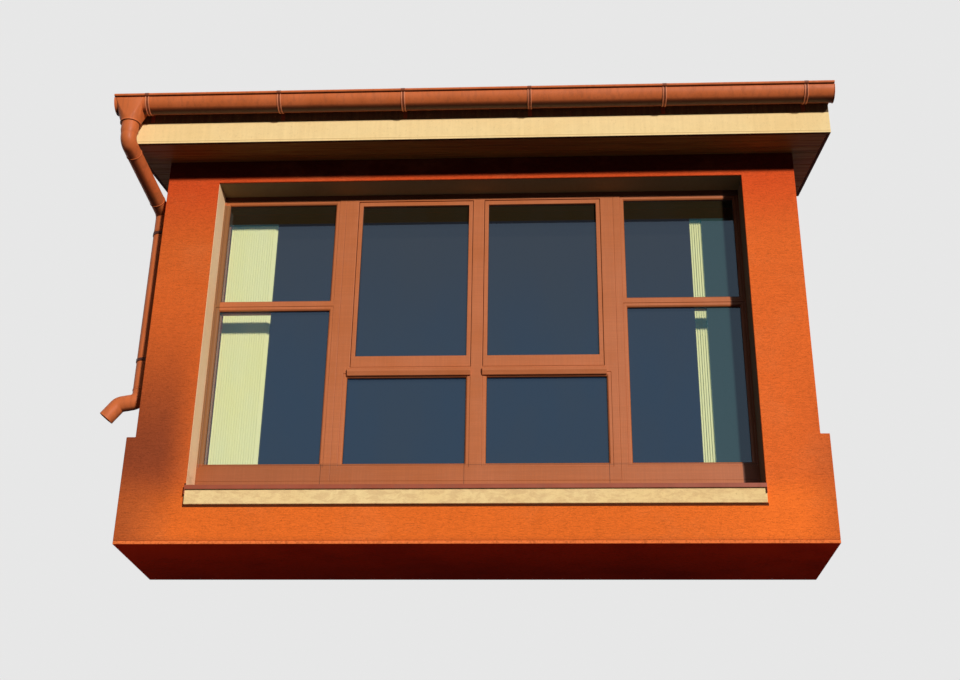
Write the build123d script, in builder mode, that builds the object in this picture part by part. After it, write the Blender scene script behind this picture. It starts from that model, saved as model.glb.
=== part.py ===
"""Box oriel window under a mono-pitch roof, cut off at the plane of the main wall.

X runs to the right, Y into the wall and Z up, in millimetres. The main wall's plane is
Y = 0, so that the window looks towards -Y. The origin is the middle of the back face of
the floor panel, where the bay is bolted to the wall.
"""
import os
from math import cos, hypot, radians, sin, tan

from build123d import *

os.makedirs("parts", exist_ok=True)

# Box of the bay, heights from its underside
bay_width = 4090.0
bay_depth = 800.0
shoulder_width = 55.0  # the lower part of the box is this much wider on each side
shoulder_height = 667.0
front_wall = 280.0
underside_board_thickness = 20.0
floor_panel_thickness = 250.0
floor_finish_thickness = 18.0

# Window opening
pier_width = 340.0
room_margin = 20.0  # from the edge of the opening to the inner faces of the cheeks
opening_head = 2454.0
lintel_height = 159.0  # from the head of the opening to the soffit, at the front face
reveal_depth = 190.0
reveal_render = 12.0
sill_ledge = 238.0  # where the rendered sill starts
frame_seat = 375.0  # where the window frames stand

# Window frames and lights
frame_depth = 80.0
jamb_face = 37.0
head_face = 61.0
coupled_mullion_face = 141.0  # two coupled jambs between a side light and the lower middle light
middle_light_width = 748.0
centre_mullion_face = 128.6
transom_face = 68.0
bottom_rail_height = 72.0
lower_light_sill = 561.0  # height of the lower edge of the glass
side_transom = 1607.0
middle_transom = 1132.0
bead_face = 26.0
bead_depth = 22.0
bead_setback = 4.0
bead_bevel = 8.0
glass_thickness = 24.0
glass_cover = 14.0  # how far a pane reaches behind its beads
seat_gap = 0.3

# Opening sashes over the middle lower lights
sash_overlap = 13.0  # the middle jamb is this much narrower beside a sash than beside a fixed light
sash_mullion_face = 73.0
sash_gap = 3.0
sash_stile_face = 26.0
sash_top_face = 29.0
sash_bottom_face = 75.0
sash_setback = 5.0
sash_flange = 14.0  # thickness of the flange that shuts against the frame's inner face
sash_flange_lap = 8.0
sash_rebate = 20.0  # from the sash's outer face to its glass
weather_bar_height = 53.0
weather_bar_projection = 22.0
weather_bar_drop = 9.0  # below the top of the middle transom

# Sills
sill_projection = 15.0
metal_sill_thickness = 3.0
metal_sill_projection = 30.0
metal_sill_nose = 26.0
metal_sill_slope = 6.0
sill_ear_height = 58.0
window_board_thickness = 20.0
window_board_depth = 60.0

# Roof
roof_pitch = 10.8
front_overhang = 324.0
side_overhang = 184.0
soffit_board = 12.0
roof_panel_thickness = 249.0
fascia_thickness = 25.0
sheet_thickness = 3.0
sheet_eave_lap = 40.0
sheet_side_lap = 6.0
sheet_side_drop = 45.0
seam_height = 25.0
seam_thickness = 7.0
seam_count = 7

# Half-round gutter
gutter_radius = 75.0
gutter_wall = 3.0
gutter_bead_radius = 11.0
gutter_bead_rise = 10.0  # the bead's axis above the gutter's
gutter_standoff = 20.0
gutter_drop = 15.0  # rim below the top of the fascia
gutter_right_run = 12.0  # past the roof's right edge
gutter_left_run = 71.0  # past the roof's left edge, to carry the outlet
bracket_places = (0.0, 0.204, 0.394, 0.586, 0.789, 1.0)  # shares of the way from the first to the last
bracket_width = 25.0
bracket_thickness = 4.0
bracket_clearance = 11.0  # from the outlet to the first bracket
bracket_end_margin = 160.0  # from the last bracket to the roof's right edge
bracket_plate_height = 85.0

# Outlet
outlet_width = 176.0
outlet_lip = 4.0
outlet_height = 141.0
outlet_wrap = 4.0  # from the gutter to the hopper's front and back faces
outlet_offset = 27.0  # the outlet's axis stands in from the roof's left edge
outlet_foot_margin = 12.0  # the hopper's foot is this much wider than the pipe all round
outlet_ring_lip = 3.0
outlet_ring_height = 10.0
outlet_sleeve_step = 5.0  # the sleeve under the hopper is this much thicker than the pipe

# Downpipe
pipe_radius = 50.0
pipe_wall = 3.0
pipe_clearance = 0.5  # all round the end of a length where it stands in the next one
spigot_length = 45.0
spigot_step = 4.0  # where the end of a length closes in to its spigot
rim_lip = 2.5
rim_length = 8.0
bend_throat = 6.0  # inner radius of the bends
bend_segment_turn = 25.0  # degrees between two segments of a bend, about
wall_standoff = 22.0  # from the cheek to the pipe
pipe_setback = 205.0  # from the front face to the axis of the vertical pipe
elbow_drop = 131.0  # from the outlet to the corner of the upper elbow
offset_fall = 171.0
sleeve_leg = 8.0  # straight part of the upper elbow between its sleeve and its bend
spigot_leg = 100.0  # straight end of the upper elbow, past its bend
entry_leg = 48.0  # straight start of the lower elbow, before its bend
offset_leg = 101.0  # straight end of the lower elbow
shoe_corner_height = 985.0
shoe_leg = 27.0  # straight start of the shoe
shoe_reach = 128.0  # from the pipe's axis to the shoe's second bend
shoe_dip = 22.0
mouth_reach = 72.0
mouth_fall = 92.0
upper_clamp_drop = 22.0  # below the joint under the lower elbow
lower_clamp_rise = 195.0  # above the shoe's joint
clamp_width = 20.0
clamp_thickness = 4.0
clamp_stem_radius = 6.0

# Ceiling, its downlights and the two drawn-back blinds
ceiling_rise = 16.0  # above the head of the opening
ceiling_thickness = 15.0
downlight_inner_place = 580.0  # from the bay's middle
downlight_outer_place = 1145.0
downlight_line = 45.0  # from the wall plane
downlight_radius = 38.0
downlight_thickness = 9.0
blind_left_width = 328.0
blind_right_width = 302.0
blind_thickness = 36.0
blind_bow = 14.0
blind_line = 350.0  # from the wall plane to the blinds' middle
blind_floor_gap = 25.0
track_height = 14.0
track_width = 24.0

# Two coordinates this close are taken as the same when edges are picked out
same_place = 0.01

# Heights counted from the origin, which is halfway up the floor panel
underside = -(underside_board_thickness + floor_panel_thickness / 2)
floor_panel_bottom = underside + underside_board_thickness
floor_panel_top = floor_panel_bottom + floor_panel_thickness
floor_top = floor_panel_top + floor_finish_thickness
ledge_z = underside + sill_ledge
frame_bottom = underside + frame_seat
head_z = underside + opening_head
soffit_z = head_z + lintel_height
ceiling_z = head_z + ceiling_rise
shoulder_z = underside + shoulder_height

# Faces of the walls
front_y = -bay_depth
frame_y = front_y + reveal_depth
frame_back_y = frame_y + frame_depth
inner_wall_y = front_y + front_wall
half_bay = bay_width / 2
half_base = half_bay + shoulder_width
half_opening = half_bay - pier_width
half_room = half_opening + room_margin
half_rough = half_opening + reveal_render
rough_head = head_z + reveal_render

# Roof lines
slope = tan(radians(roof_pitch))
eave_y = front_y - front_overhang
half_roof = half_bay + side_overhang
panel_front_y = eave_y + fascia_thickness
half_panel = half_roof - fascia_thickness


def soffit_line(y):
    """Height of the underside of the soffit boards at depth y."""
    return soffit_z + (y - front_y) * slope


def panel_line(y):
    """Height of the underside of the roof panel, on which the walls end."""
    return soffit_line(y) + soffit_board


def roof_line(y):
    """Height of the top of the roof panel."""
    return panel_line(y) + roof_panel_thickness


def finish(piece, name):
    """Name a finished piece and write it."""
    piece.part.label = name
    export_step(piece.part, f"parts/{name}.step")


def block(x_span, y_span, z_span):
    """Add a plain block between three pairs of coordinates."""
    with BuildSketch(Plane.XY.offset(z_span[0])) as plan:
        with Locations(((x_span[0] + x_span[1]) / 2, (y_span[0] + y_span[1]) / 2)):
            Rectangle(x_span[1] - x_span[0], y_span[1] - y_span[0])
    extrude(plan.sketch, amount=z_span[1] - z_span[0])


def profile(points, x_span, mode=Mode.ADD):
    """Extrude an outline of (y, z) points from one x to another."""
    with BuildSketch(Plane.YZ.offset(x_span[0])) as section:
        with BuildLine():
            Polyline(*points, close=True)
        make_face()
    extrude(section.sketch, amount=x_span[1] - x_span[0], mode=mode)


def under_roof(y_span, bottom):
    """Outline from a level bottom up to the sloping underside of the roof panel."""
    front, back = y_span
    return [(front, bottom), (back, bottom), (back, panel_line(back)), (front, panel_line(front))]


# Floor
with BuildPart() as underside_board:
    block((-half_base, half_base), (front_y, 0), (underside, floor_panel_bottom))
finish(underside_board, "underside_board")

with BuildPart() as floor_panel:
    block((-half_room, half_room), (inner_wall_y, 0), (floor_panel_bottom, floor_panel_top))
finish(floor_panel, "floor_panel")

with BuildPart() as floor_finish:
    block((-half_room, half_room), (inner_wall_y, 0), (floor_panel_top, floor_top))
finish(floor_finish, "floor_finish")

# Walls
with BuildPart() as front_spandrel:
    profile(
        [
            (front_y, floor_panel_bottom),
            (inner_wall_y, floor_panel_bottom),
            (inner_wall_y, frame_bottom),
            (frame_y, frame_bottom),
            (frame_y, ledge_z),
            (front_y, ledge_z),
        ],
        (-half_rough, half_rough),
    )
finish(front_spandrel, "front_spandrel")

with BuildPart() as front_lintel:
    profile(under_roof((front_y, inner_wall_y), rough_head), (-half_rough, half_rough))
finish(front_lintel, "front_lintel")

# Piers and cheeks, each with a shoulder that widens the lower part of the box
for side, sign in (("left", -1), ("right", 1)):
    shoulder_span = sorted((sign * half_bay, sign * half_base))
    with BuildPart() as front_pier:
        profile(
            under_roof((front_y, inner_wall_y), floor_panel_bottom),
            sorted((sign * half_rough, sign * half_bay)),
        )
        block(shoulder_span, (front_y, inner_wall_y), (floor_panel_bottom, shoulder_z))
    finish(front_pier, f"front_pier_{side}")

    with BuildPart() as cheek:
        profile(
            under_roof((inner_wall_y, 0), floor_panel_bottom),
            sorted((sign * half_room, sign * half_bay)),
        )
        block(shoulder_span, (inner_wall_y, 0), (floor_panel_bottom, shoulder_z))
    finish(cheek, f"cheek_wall_{side}")

# Rendered reveals
with BuildPart() as reveal_sides:
    for sign in (-1, 1):
        block(sorted((sign * half_opening, sign * half_rough)), (front_y, frame_y), (ledge_z, head_z))
finish(reveal_sides, "reveal_sides")

with BuildPart() as reveal_head:
    block((-half_rough, half_rough), (front_y, frame_y), (head_z, rough_head))
finish(reveal_head, "reveal_head")

# Rendered sill with a sloping bed for the metal sill
sill_rise = tan(radians(metal_sill_slope))
sill_front_y = front_y - sill_projection
nose_y = front_y - metal_sill_projection


def sill_bed(y):
    """Height of the sloping bed under the metal sill, which rises to the frame's seat."""
    return frame_bottom - metal_sill_thickness - (frame_y - y) * sill_rise


with BuildPart() as rendered_sill:
    profile(
        [
            (sill_front_y, ledge_z),
            (frame_y, ledge_z),
            (frame_y, sill_bed(frame_y)),
            (sill_front_y, sill_bed(sill_front_y)),
        ],
        (-half_opening, half_opening),
    )
finish(rendered_sill, "rendered_sill")

with BuildPart() as metal_sill:
    nose_back = nose_y + metal_sill_thickness
    nose_foot = sill_bed(nose_y) + metal_sill_thickness - metal_sill_nose
    profile(
        [
            (nose_y, nose_foot),
            (nose_back, nose_foot),
            (nose_back, sill_bed(nose_back)),
            (frame_y, sill_bed(frame_y)),
            (frame_y, sill_bed(frame_y) + metal_sill_thickness),
            (nose_y, sill_bed(nose_y) + metal_sill_thickness),
        ],
        (-half_opening, half_opening),
    )
    # The turned-down ears close the nose at both ends
    ear_foot = sill_bed(nose_y) + metal_sill_thickness - sill_ear_height
    for ear_start in (-half_opening, half_opening - metal_sill_thickness):
        profile(
            [
                (nose_y, ear_foot),
                (sill_front_y, ear_foot),
                (sill_front_y, sill_bed(sill_front_y)),
                (nose_y, sill_bed(nose_y)),
            ],
            (ear_start, ear_start + metal_sill_thickness),
        )
finish(metal_sill, "metal_sill")

# Window frames: the lights are given as (x0, x1, z0, z1) of their visible glass
middle_inner = centre_mullion_face / 2
middle_outer = middle_inner + middle_light_width
side_inner = middle_outer + coupled_mullion_face
side_outer = half_opening - jamb_face
frame_joint = middle_outer + coupled_mullion_face / 2
lower_z = underside + lower_light_sill
side_transom_z = underside + side_transom
middle_transom_z = underside + middle_transom
glass_head_z = head_z - head_face
frame_foot = frame_bottom + bottom_rail_height

side_lights = (
    (side_inner, side_outer, lower_z, side_transom_z),
    (side_inner, side_outer, side_transom_z + transom_face, glass_head_z),
)
middle_light = (middle_inner, middle_outer, lower_z, middle_transom_z)
sash_opening = (
    sash_mullion_face / 2,
    middle_outer - sash_overlap,
    middle_transom_z + transom_face,
    glass_head_z + sash_overlap,
)
sash_outer = (
    sash_opening[0] + sash_gap,
    sash_opening[1] - sash_gap,
    sash_opening[2] + sash_gap,
    sash_opening[3] - sash_gap,
)
sash_light = (
    sash_outer[0] + sash_stile_face,
    sash_outer[1] - sash_stile_face,
    sash_outer[2] + sash_bottom_face,
    sash_outer[3] - sash_top_face,
)


def grown(light, margin):
    """The outline of a light moved outwards by a margin."""
    return (light[0] - margin, light[1] + margin, light[2] - margin, light[3] + margin)


def mirrored(light):
    """The same light on the other side of the bay's middle."""
    return (-light[1], -light[0], light[2], light[3])


def on_side(light, sign):
    """A light of the right half, or its mirror image in the left half."""
    return light if sign > 0 else mirrored(light)


def upright(light, y_span, mode=Mode.ADD):
    """Extrude a light's outline between two depths."""
    with BuildSketch(Plane.XZ.offset(-y_span[0])) as outline:
        with Locations(((light[0] + light[1]) / 2, (light[2] + light[3]) / 2)):
            Rectangle(light[1] - light[0], light[3] - light[2])
    extrude(outline.sketch, amount=-(y_span[1] - y_span[0]), mode=mode)


def glazed_member(outline, lights, y_span):
    """A frame or sash: its outline with, for each light, a bead rebate and a glass stop."""
    front, back = y_span
    upright(outline, y_span)
    for light in lights:
        upright(light, (front, back), Mode.SUBTRACT)
        rebate_back = front + bead_setback + bead_depth + glass_thickness
        upright(grown(light, bead_face), (front, rebate_back), Mode.SUBTRACT)


def bead_rings(lights, front):
    """The bevelled glazing beads round each light."""
    for light in lights:
        bead_front = front + bead_setback
        upright(grown(light, bead_face - seat_gap), (bead_front, bead_front + bead_depth))
        upright(light, (bead_front, bead_front + bead_depth), Mode.SUBTRACT)
    inner_edges = (
        edges()
        .filter_by(lambda edge: abs(edge.center().Y - (front + bead_setback)) < same_place)
        .filter_by(lambda edge: any(on_outline(edge.center(), light) for light in lights))
    )
    chamfer(inner_edges, bead_bevel)


def on_outline(point, light):
    """True where a point lies on the outline of a light."""
    x0, x1, z0, z1 = grown(light, same_place)
    within = x0 < point.X < x1 and z0 < point.Z < z1
    x0, x1, z0, z1 = grown(light, -same_place)
    inside = x0 < point.X < x1 and z0 < point.Z < z1
    return within and not inside


def panes(lights, front):
    """A sealed unit behind the beads of each light."""
    pane_front = front + bead_setback + bead_depth
    for light in lights:
        upright(grown(light, bead_face - seat_gap), (pane_front, pane_front + glass_thickness))


for side, sign in (("left", -1), ("right", 1)):
    with BuildPart() as frame:
        outline = on_side((frame_joint, half_rough, frame_foot, rough_head), sign)
        glazed_member(outline, [on_side(light, sign) for light in side_lights], (frame_y, frame_back_y))
    finish(frame, f"window_frame_{side}")

both_middle_lights = [on_side(middle_light, sign) for sign in (-1, 1)]
with BuildPart() as frame_middle:
    outline = (-frame_joint, frame_joint, frame_foot, rough_head)
    glazed_member(outline, both_middle_lights, (frame_y, frame_back_y))
    for sign in (-1, 1):
        upright(on_side(sash_opening, sign), (frame_y, frame_back_y), Mode.SUBTRACT)
finish(frame_middle, "window_frame_middle")

with BuildPart() as bottom_rail:
    block((-half_rough, half_rough), (frame_y, frame_back_y), (frame_bottom, frame_foot))
finish(bottom_rail, "bottom_rail")

fixed_lights = both_middle_lights + [on_side(light, sign) for light in side_lights for sign in (-1, 1)]
with BuildPart() as fixed_glass:
    panes(fixed_lights, frame_y)
finish(fixed_glass, "fixed_glass")

# Opening sashes: each shuts against the frame's inner face and has its glass in a rebate
sash_y = frame_y + sash_setback
sash_back_y = frame_back_y + sash_flange
sash_glass_y = sash_y + sash_rebate
for side, sign in (("left", -1), ("right", 1)):
    light = on_side(sash_light, sign)
    with BuildPart() as sash:
        upright(on_side(sash_outer, sign), (sash_y, frame_back_y))
        flange = grown(on_side(sash_opening, sign), sash_flange_lap)
        upright(flange, (frame_back_y, sash_back_y))
        upright(light, (sash_y, sash_back_y), Mode.SUBTRACT)
        upright(grown(light, glass_cover), (sash_glass_y, sash_back_y), Mode.SUBTRACT)
    finish(sash, f"sash_{side}")

sash_lights = [on_side(sash_light, sign) for sign in (-1, 1)]
with BuildPart() as sash_glass:
    for light in sash_lights:
        upright(grown(light, glass_cover - seat_gap), (sash_glass_y, sash_glass_y + glass_thickness))
finish(sash_glass, "sash_glass")

# Glazing beads: outside round the fixed lights, inside in the sashes
with BuildPart() as glazing_beads:
    bead_rings(fixed_lights, frame_y)
    for light in sash_lights:
        bead_span = (sash_glass_y + glass_thickness, sash_back_y)
        upright(grown(light, glass_cover - seat_gap), bead_span)
        upright(light, bead_span, Mode.SUBTRACT)
finish(glazing_beads, "glazing_beads")

# Weather bars on the transom under the sashes
with BuildPart() as weather_bars:
    bar_top = sash_opening[2] - weather_bar_drop
    bar_foot = bar_top - weather_bar_height
    for sign in (-1, 1):
        profile(
            [
                (frame_y, bar_top),
                (frame_y, bar_foot),
                (frame_y - weather_bar_projection / 2, bar_foot),
                (frame_y - weather_bar_projection, bar_foot + weather_bar_height / 2),
                (frame_y - weather_bar_projection, bar_top - weather_bar_projection / 2),
            ],
            sorted((sign * sash_opening[0], sign * middle_outer)),
        )
finish(weather_bars, "weather_bars")

# Inside: window board, ceiling with four flat lights, track and the two drawn-back blinds
with BuildPart() as window_board:
    block(
        (-half_rough, half_rough),
        (frame_back_y, frame_back_y + window_board_depth),
        (frame_bottom, frame_bottom + window_board_thickness),
    )
finish(window_board, "window_board")

with BuildPart() as ceiling_board:
    block((-half_room, half_room), (inner_wall_y, 0), (ceiling_z, ceiling_z + ceiling_thickness))
finish(ceiling_board, "ceiling_board")

with BuildPart() as downlights:
    with BuildSketch(Plane.XY.offset(ceiling_z)):
        for place in (downlight_inner_place, downlight_outer_place):
            with Locations((-place, -downlight_line), (place, -downlight_line)):
                Circle(downlight_radius)
    extrude(amount=-downlight_thickness)
finish(downlights, "downlights")

blind_y = -blind_line
track_z = ceiling_z - track_height
with BuildPart() as blind_track:
    block(
        (-half_room, half_room),
        (blind_y - track_width / 2, blind_y + track_width / 2),
        (track_z, ceiling_z),
    )
finish(blind_track, "blind_track")

blind_foot = floor_top + blind_floor_gap
blind_front = blind_y - blind_thickness / 2
blind_back = blind_y + blind_thickness / 2
with BuildPart() as blinds:
    for x0, x1 in (
        (-half_opening, -half_opening + blind_left_width),
        (half_opening - blind_right_width, half_opening),
    ):
        side_front = blind_front + blind_bow
        with BuildSketch(Plane.XY.offset(blind_foot)):
            with BuildLine():
                ThreePointArc((x0, side_front), ((x0 + x1) / 2, blind_front), (x1, side_front))
                Polyline((x1, side_front), (x1, blind_back), (x0, blind_back), (x0, side_front))
            make_face()
        extrude(amount=track_z - seat_gap - blind_foot)
finish(blinds, "blinds")

# Roof panel, soffits and fascias
with BuildPart() as roof_panel:
    profile(
        [
            (panel_front_y, panel_line(panel_front_y)),
            (0, panel_line(0)),
            (0, roof_line(0)),
            (panel_front_y, roof_line(panel_front_y)),
        ],
        (-half_panel, half_panel),
    )
finish(roof_panel, "roof_panel")


def sloping_strip(y_span, lower, upper):
    """Outline between two roof lines over a stretch of depth."""
    front, back = y_span
    return [(front, lower(front)), (back, lower(back)), (back, upper(back)), (front, upper(front))]


with BuildPart() as soffit_front:
    profile(sloping_strip((panel_front_y, front_y), soffit_line, panel_line), (-half_panel, half_panel))
finish(soffit_front, "soffit_front")

with BuildPart() as fascia_front:
    profile(sloping_strip((eave_y, panel_front_y), soffit_line, roof_line), (-half_roof, half_roof))
finish(fascia_front, "fascia_front")

with BuildPart() as soffit_sides:
    for sign in (-1, 1):
        soffit_span = sorted((sign * half_bay, sign * half_panel))
        profile(sloping_strip((front_y, 0), soffit_line, panel_line), soffit_span)
finish(soffit_sides, "soffit_sides")

with BuildPart() as fascia_sides:
    for sign in (-1, 1):
        fascia_span = sorted((sign * half_panel, sign * half_roof))
        profile(sloping_strip((panel_front_y, 0), soffit_line, roof_line), fascia_span)
finish(fascia_sides, "fascia_sides")

# Metal roof covering with standing seams, a turned-down edge at each side and a drip at the eave
sheet_front_y = eave_y - sheet_eave_lap
sheet_run = -sheet_front_y / cos(radians(roof_pitch))
half_sheet = half_roof + sheet_side_lap
down_slope = Vector(0, -cos(radians(roof_pitch)), -sin(radians(roof_pitch)))
with BuildPart() as roof_sheet:
    sheet_z = roof_line(0)
    sheet_top = sheet_z + sheet_thickness
    with BuildSketch(Plane.XZ):
        with Locations((0, sheet_z + sheet_thickness / 2)):
            Rectangle(2 * half_sheet, sheet_thickness)
        with Locations((0, sheet_top - sheet_side_drop / 2)):
            with GridLocations(2 * half_sheet - sheet_thickness, 0, 2, 1):
                Rectangle(sheet_thickness, sheet_side_drop)
        bay_spacing = 2 * half_roof / (seam_count + 1)
        with Locations((0, sheet_top + seam_height / 2)):
            with GridLocations(bay_spacing, 0, seam_count, 1):
                Rectangle(seam_thickness, seam_height)
    extrude(amount=sheet_run, dir=down_slope)
    # The side edges stop at the fascia, and only the flat sheet reaches over the gutter
    trim_y = sheet_front_y - sheet_thickness
    profile(
        [
            (trim_y, roof_line(trim_y) - sheet_side_drop),
            (eave_y, roof_line(eave_y) - sheet_side_drop),
            (eave_y, roof_line(eave_y)),
            (trim_y, roof_line(trim_y)),
        ],
        (-half_sheet - sheet_thickness, half_sheet + sheet_thickness),
        Mode.SUBTRACT,
    )
finish(roof_sheet, "roof_sheet")

# Half-round gutter with a rolled bead
gutter_y = eave_y - gutter_standoff - gutter_radius
gutter_z = roof_line(eave_y) - gutter_drop
gutter_span = (-half_roof - gutter_left_run, half_roof + gutter_right_run)
outlet_x = -half_roof + outlet_offset
gutter_inner = gutter_radius - gutter_wall
bore = pipe_radius - pipe_wall

with BuildPart() as gutter:
    with BuildSketch(Plane.YZ.offset(gutter_span[0])):
        with Locations((gutter_y, gutter_z)):
            Circle(gutter_radius)
            Circle(gutter_inner, mode=Mode.SUBTRACT)
        with Locations((gutter_y, gutter_z + gutter_radius)):
            Rectangle(2 * gutter_radius, 2 * gutter_radius, mode=Mode.SUBTRACT)
        with Locations((gutter_y - gutter_radius + gutter_wall / 2, gutter_z + gutter_bead_rise / 2)):
            Rectangle(gutter_wall, gutter_bead_rise)
        bead_y = gutter_y - gutter_radius - gutter_bead_radius + gutter_wall
        with Locations((bead_y, gutter_z + gutter_bead_rise)):
            Circle(gutter_bead_radius)
    extrude(amount=gutter_span[1] - gutter_span[0])
    with BuildSketch(Plane.XY.offset(gutter_z)):
        with Locations((outlet_x, gutter_y)):
            Circle(bore)
    extrude(amount=-gutter_radius, mode=Mode.SUBTRACT)
finish(gutter, "gutter")

stop_end_radius = gutter_radius + gutter_wall
with BuildPart() as stop_ends:
    for x in (gutter_span[0] - gutter_wall, gutter_span[1]):
        with BuildSketch(Plane.YZ.offset(x)):
            with Locations((gutter_y, gutter_z)):
                Circle(stop_end_radius)
            with Locations((gutter_y, gutter_z + stop_end_radius)):
                Rectangle(2 * stop_end_radius, 2 * stop_end_radius, mode=Mode.SUBTRACT)
        extrude(amount=gutter_wall)
finish(stop_ends, "gutter_stop_ends")

# Gutter brackets: a strap under the gutter on a plate that is screwed to the fascia
strap_inner = gutter_radius + seat_gap
strap_outer = strap_inner + bracket_thickness
strap_top = gutter_z + gutter_bead_rise - gutter_bead_radius - seat_gap
bracket_first = outlet_x + outlet_width / 2 + bracket_clearance + bracket_width / 2
bracket_last = half_roof - bracket_end_margin
with BuildPart() as brackets:
    for place in bracket_places:
        x = bracket_first + place * (bracket_last - bracket_first)
        with BuildSketch(Plane.YZ.offset(x - bracket_width / 2)):
            with Locations((gutter_y, gutter_z)):
                Circle(strap_outer)
                Circle(strap_inner, mode=Mode.SUBTRACT)
            with Locations((gutter_y, gutter_z + strap_outer)):
                Rectangle(2 * strap_outer, 2 * strap_outer, mode=Mode.SUBTRACT)
            with Locations((gutter_y - strap_outer, strap_top + strap_outer / 2)):
                Rectangle(strap_outer, strap_outer, mode=Mode.SUBTRACT)
            with Locations((eave_y - bracket_thickness / 2, gutter_z - bracket_plate_height / 2)):
                Rectangle(bracket_thickness, bracket_plate_height)
            link = gutter_standoff - seat_gap
            with Locations((eave_y - link / 2, gutter_z - bracket_thickness / 2)):
                Rectangle(link, bracket_thickness)
        extrude(amount=bracket_width)
finish(brackets, "gutter_brackets")

# Route of the downpipe: from the outlet back to the cheek, down along it and out through a shoe
outlet_top = gutter_z + gutter_bead_rise - gutter_bead_radius - outlet_lip
outlet_foot = outlet_top - outlet_height
outlet_ring_foot = outlet_foot - outlet_ring_height
pipe_x = -half_bay - wall_standoff - pipe_radius
pipe_y = front_y + pipe_setback
corner_top = Vector(outlet_x, gutter_y, outlet_ring_foot - elbow_drop)
corner_low = Vector(pipe_x, pipe_y, corner_top.Z - offset_fall)
corner_shoe = Vector(pipe_x, pipe_y, underside + shoe_corner_height)
corner_mouth = corner_shoe + Vector(-shoe_reach, 0, -shoe_dip)
shoe_end = corner_mouth + Vector(-mouth_reach, 0, -mouth_fall)
down = Vector(0, 0, -1)
run_direction = (corner_low - corner_top).normalized()
shoe_direction = (corner_mouth - corner_shoe).normalized()
mouth_direction = (shoe_end - corner_mouth).normalized()
bend_radius = pipe_radius + bend_throat


def tangent_length(before, after):
    """How far from its corner a bend between two directions starts."""
    return bend_radius * tan(radians(before.get_angle(after) / 2))


def bend(corner, before, after):
    """The corners of a bend in mitred segments, which takes the place of one sharp corner."""
    turn = radians(before.get_angle(after))
    cuts = max(1, round(turn / radians(bend_segment_turn)))
    half = bend_radius * tan(turn / cuts / 2)
    points = [corner - before * (tangent_length(before, after) - half)]
    for cut in range(1, cuts):
        share = turn * cut / cuts
        heading = (before * sin(turn - share) + after * sin(share)) * (1 / sin(turn))
        points.append(points[-1] + heading * (2 * half))
    return points


run_tangent = tangent_length(down, run_direction)
joint_outlet = corner_top - down * (run_tangent + sleeve_leg)
joint_upper = corner_top + run_direction * (run_tangent + spigot_leg)
joint_lower = corner_low - run_direction * (run_tangent + entry_leg)
joint_offset = corner_low + down * (run_tangent + offset_leg)
joint_shoe = corner_shoe - down * (tangent_length(down, shoe_direction) + shoe_leg)
sleeve_length = outlet_ring_foot - joint_outlet.Z

# Outlet hopper that clasps the gutter, narrows to a round foot and ends in a spigot
outlet_half_depth = gutter_radius + outlet_wrap
outlet_foot_radius = pipe_radius + outlet_foot_margin
outlet_ring_radius = outlet_foot_radius + outlet_ring_lip


def outlet_disc(height, radius, amount, mode=Mode.ADD):
    """Add or cut a round length on the outlet's axis."""
    with BuildSketch(Plane.XY.offset(height)) as disc:
        with Locations((outlet_x, gutter_y)):
            Circle(radius)
    extrude(disc.sketch, amount=amount, mode=mode)


with BuildPart() as outlet_funnel:
    # A cone that four sloping planes trim to a rectangular mouth over a round foot
    half_width = outlet_width / 2
    with Locations((outlet_x, gutter_y, (outlet_top + outlet_foot) / 2)):
        Cone(outlet_foot_radius, hypot(half_width, outlet_half_depth), outlet_height)
    for plane, half, centre in (
        (Plane.YZ.offset(outlet_x - outlet_width), outlet_half_depth, gutter_y),
        (Plane.XZ.offset(-gutter_y - outlet_width), half_width, outlet_x),
    ):
        with BuildSketch(plane):
            with BuildLine():
                Polyline(
                    (centre - outlet_ring_radius, outlet_foot),
                    (centre + outlet_ring_radius, outlet_foot),
                    (centre + half, outlet_top),
                    (centre - half, outlet_top),
                    close=True,
                )
            make_face()
        extrude(amount=2 * outlet_width, mode=Mode.INTERSECT)
    outlet_disc(outlet_foot, outlet_ring_radius, -outlet_ring_height)
    outlet_disc(outlet_ring_foot, pipe_radius, seat_gap - sleeve_length)
    outlet_disc(outlet_foot, outlet_foot_radius - pipe_wall, outlet_height, Mode.SUBTRACT)
    outlet_disc(outlet_foot, bore, -outlet_ring_height - sleeve_length, Mode.SUBTRACT)
    with BuildSketch(Plane.YZ.offset(outlet_x - outlet_width)):
        with Locations((gutter_y, gutter_z)):
            Circle(gutter_radius + seat_gap)
    extrude(amount=2 * outlet_width, mode=Mode.SUBTRACT)
finish(outlet_funnel, "outlet_funnel")

# Lengths of the downpipe: each is narrowed at its lower end, which stands in the rimmed end of the next
spigot_outer = bore - pipe_clearance
spigot_bore = spigot_outer - pipe_wall


def ring(plane, outer, inner, amount):
    """Extrude a ring from a plane across the pipe."""
    with BuildSketch(plane) as section:
        Circle(outer)
        Circle(inner, mode=Mode.SUBTRACT)
    extrude(section.sketch, amount=amount)


def pipe_length(points, narrowed=True):
    """A tube through mitred straight pieces, which ends in a spigot unless it is the last one."""
    with BuildLine() as route:
        Polyline(*points)
    with BuildSketch(Plane(origin=points[0], z_dir=points[1] - points[0])) as section:
        Circle(pipe_radius)
        Circle(bore, mode=Mode.SUBTRACT)
    sweep(section.sketch, path=route.wires()[0], transition=Transition.RIGHT)
    if narrowed:
        end = Plane(origin=points[-1], z_dir=points[-1] - points[-2])
        ring(end, pipe_radius, spigot_bore, -spigot_step)
        ring(end, spigot_outer, spigot_bore, spigot_length)


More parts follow.
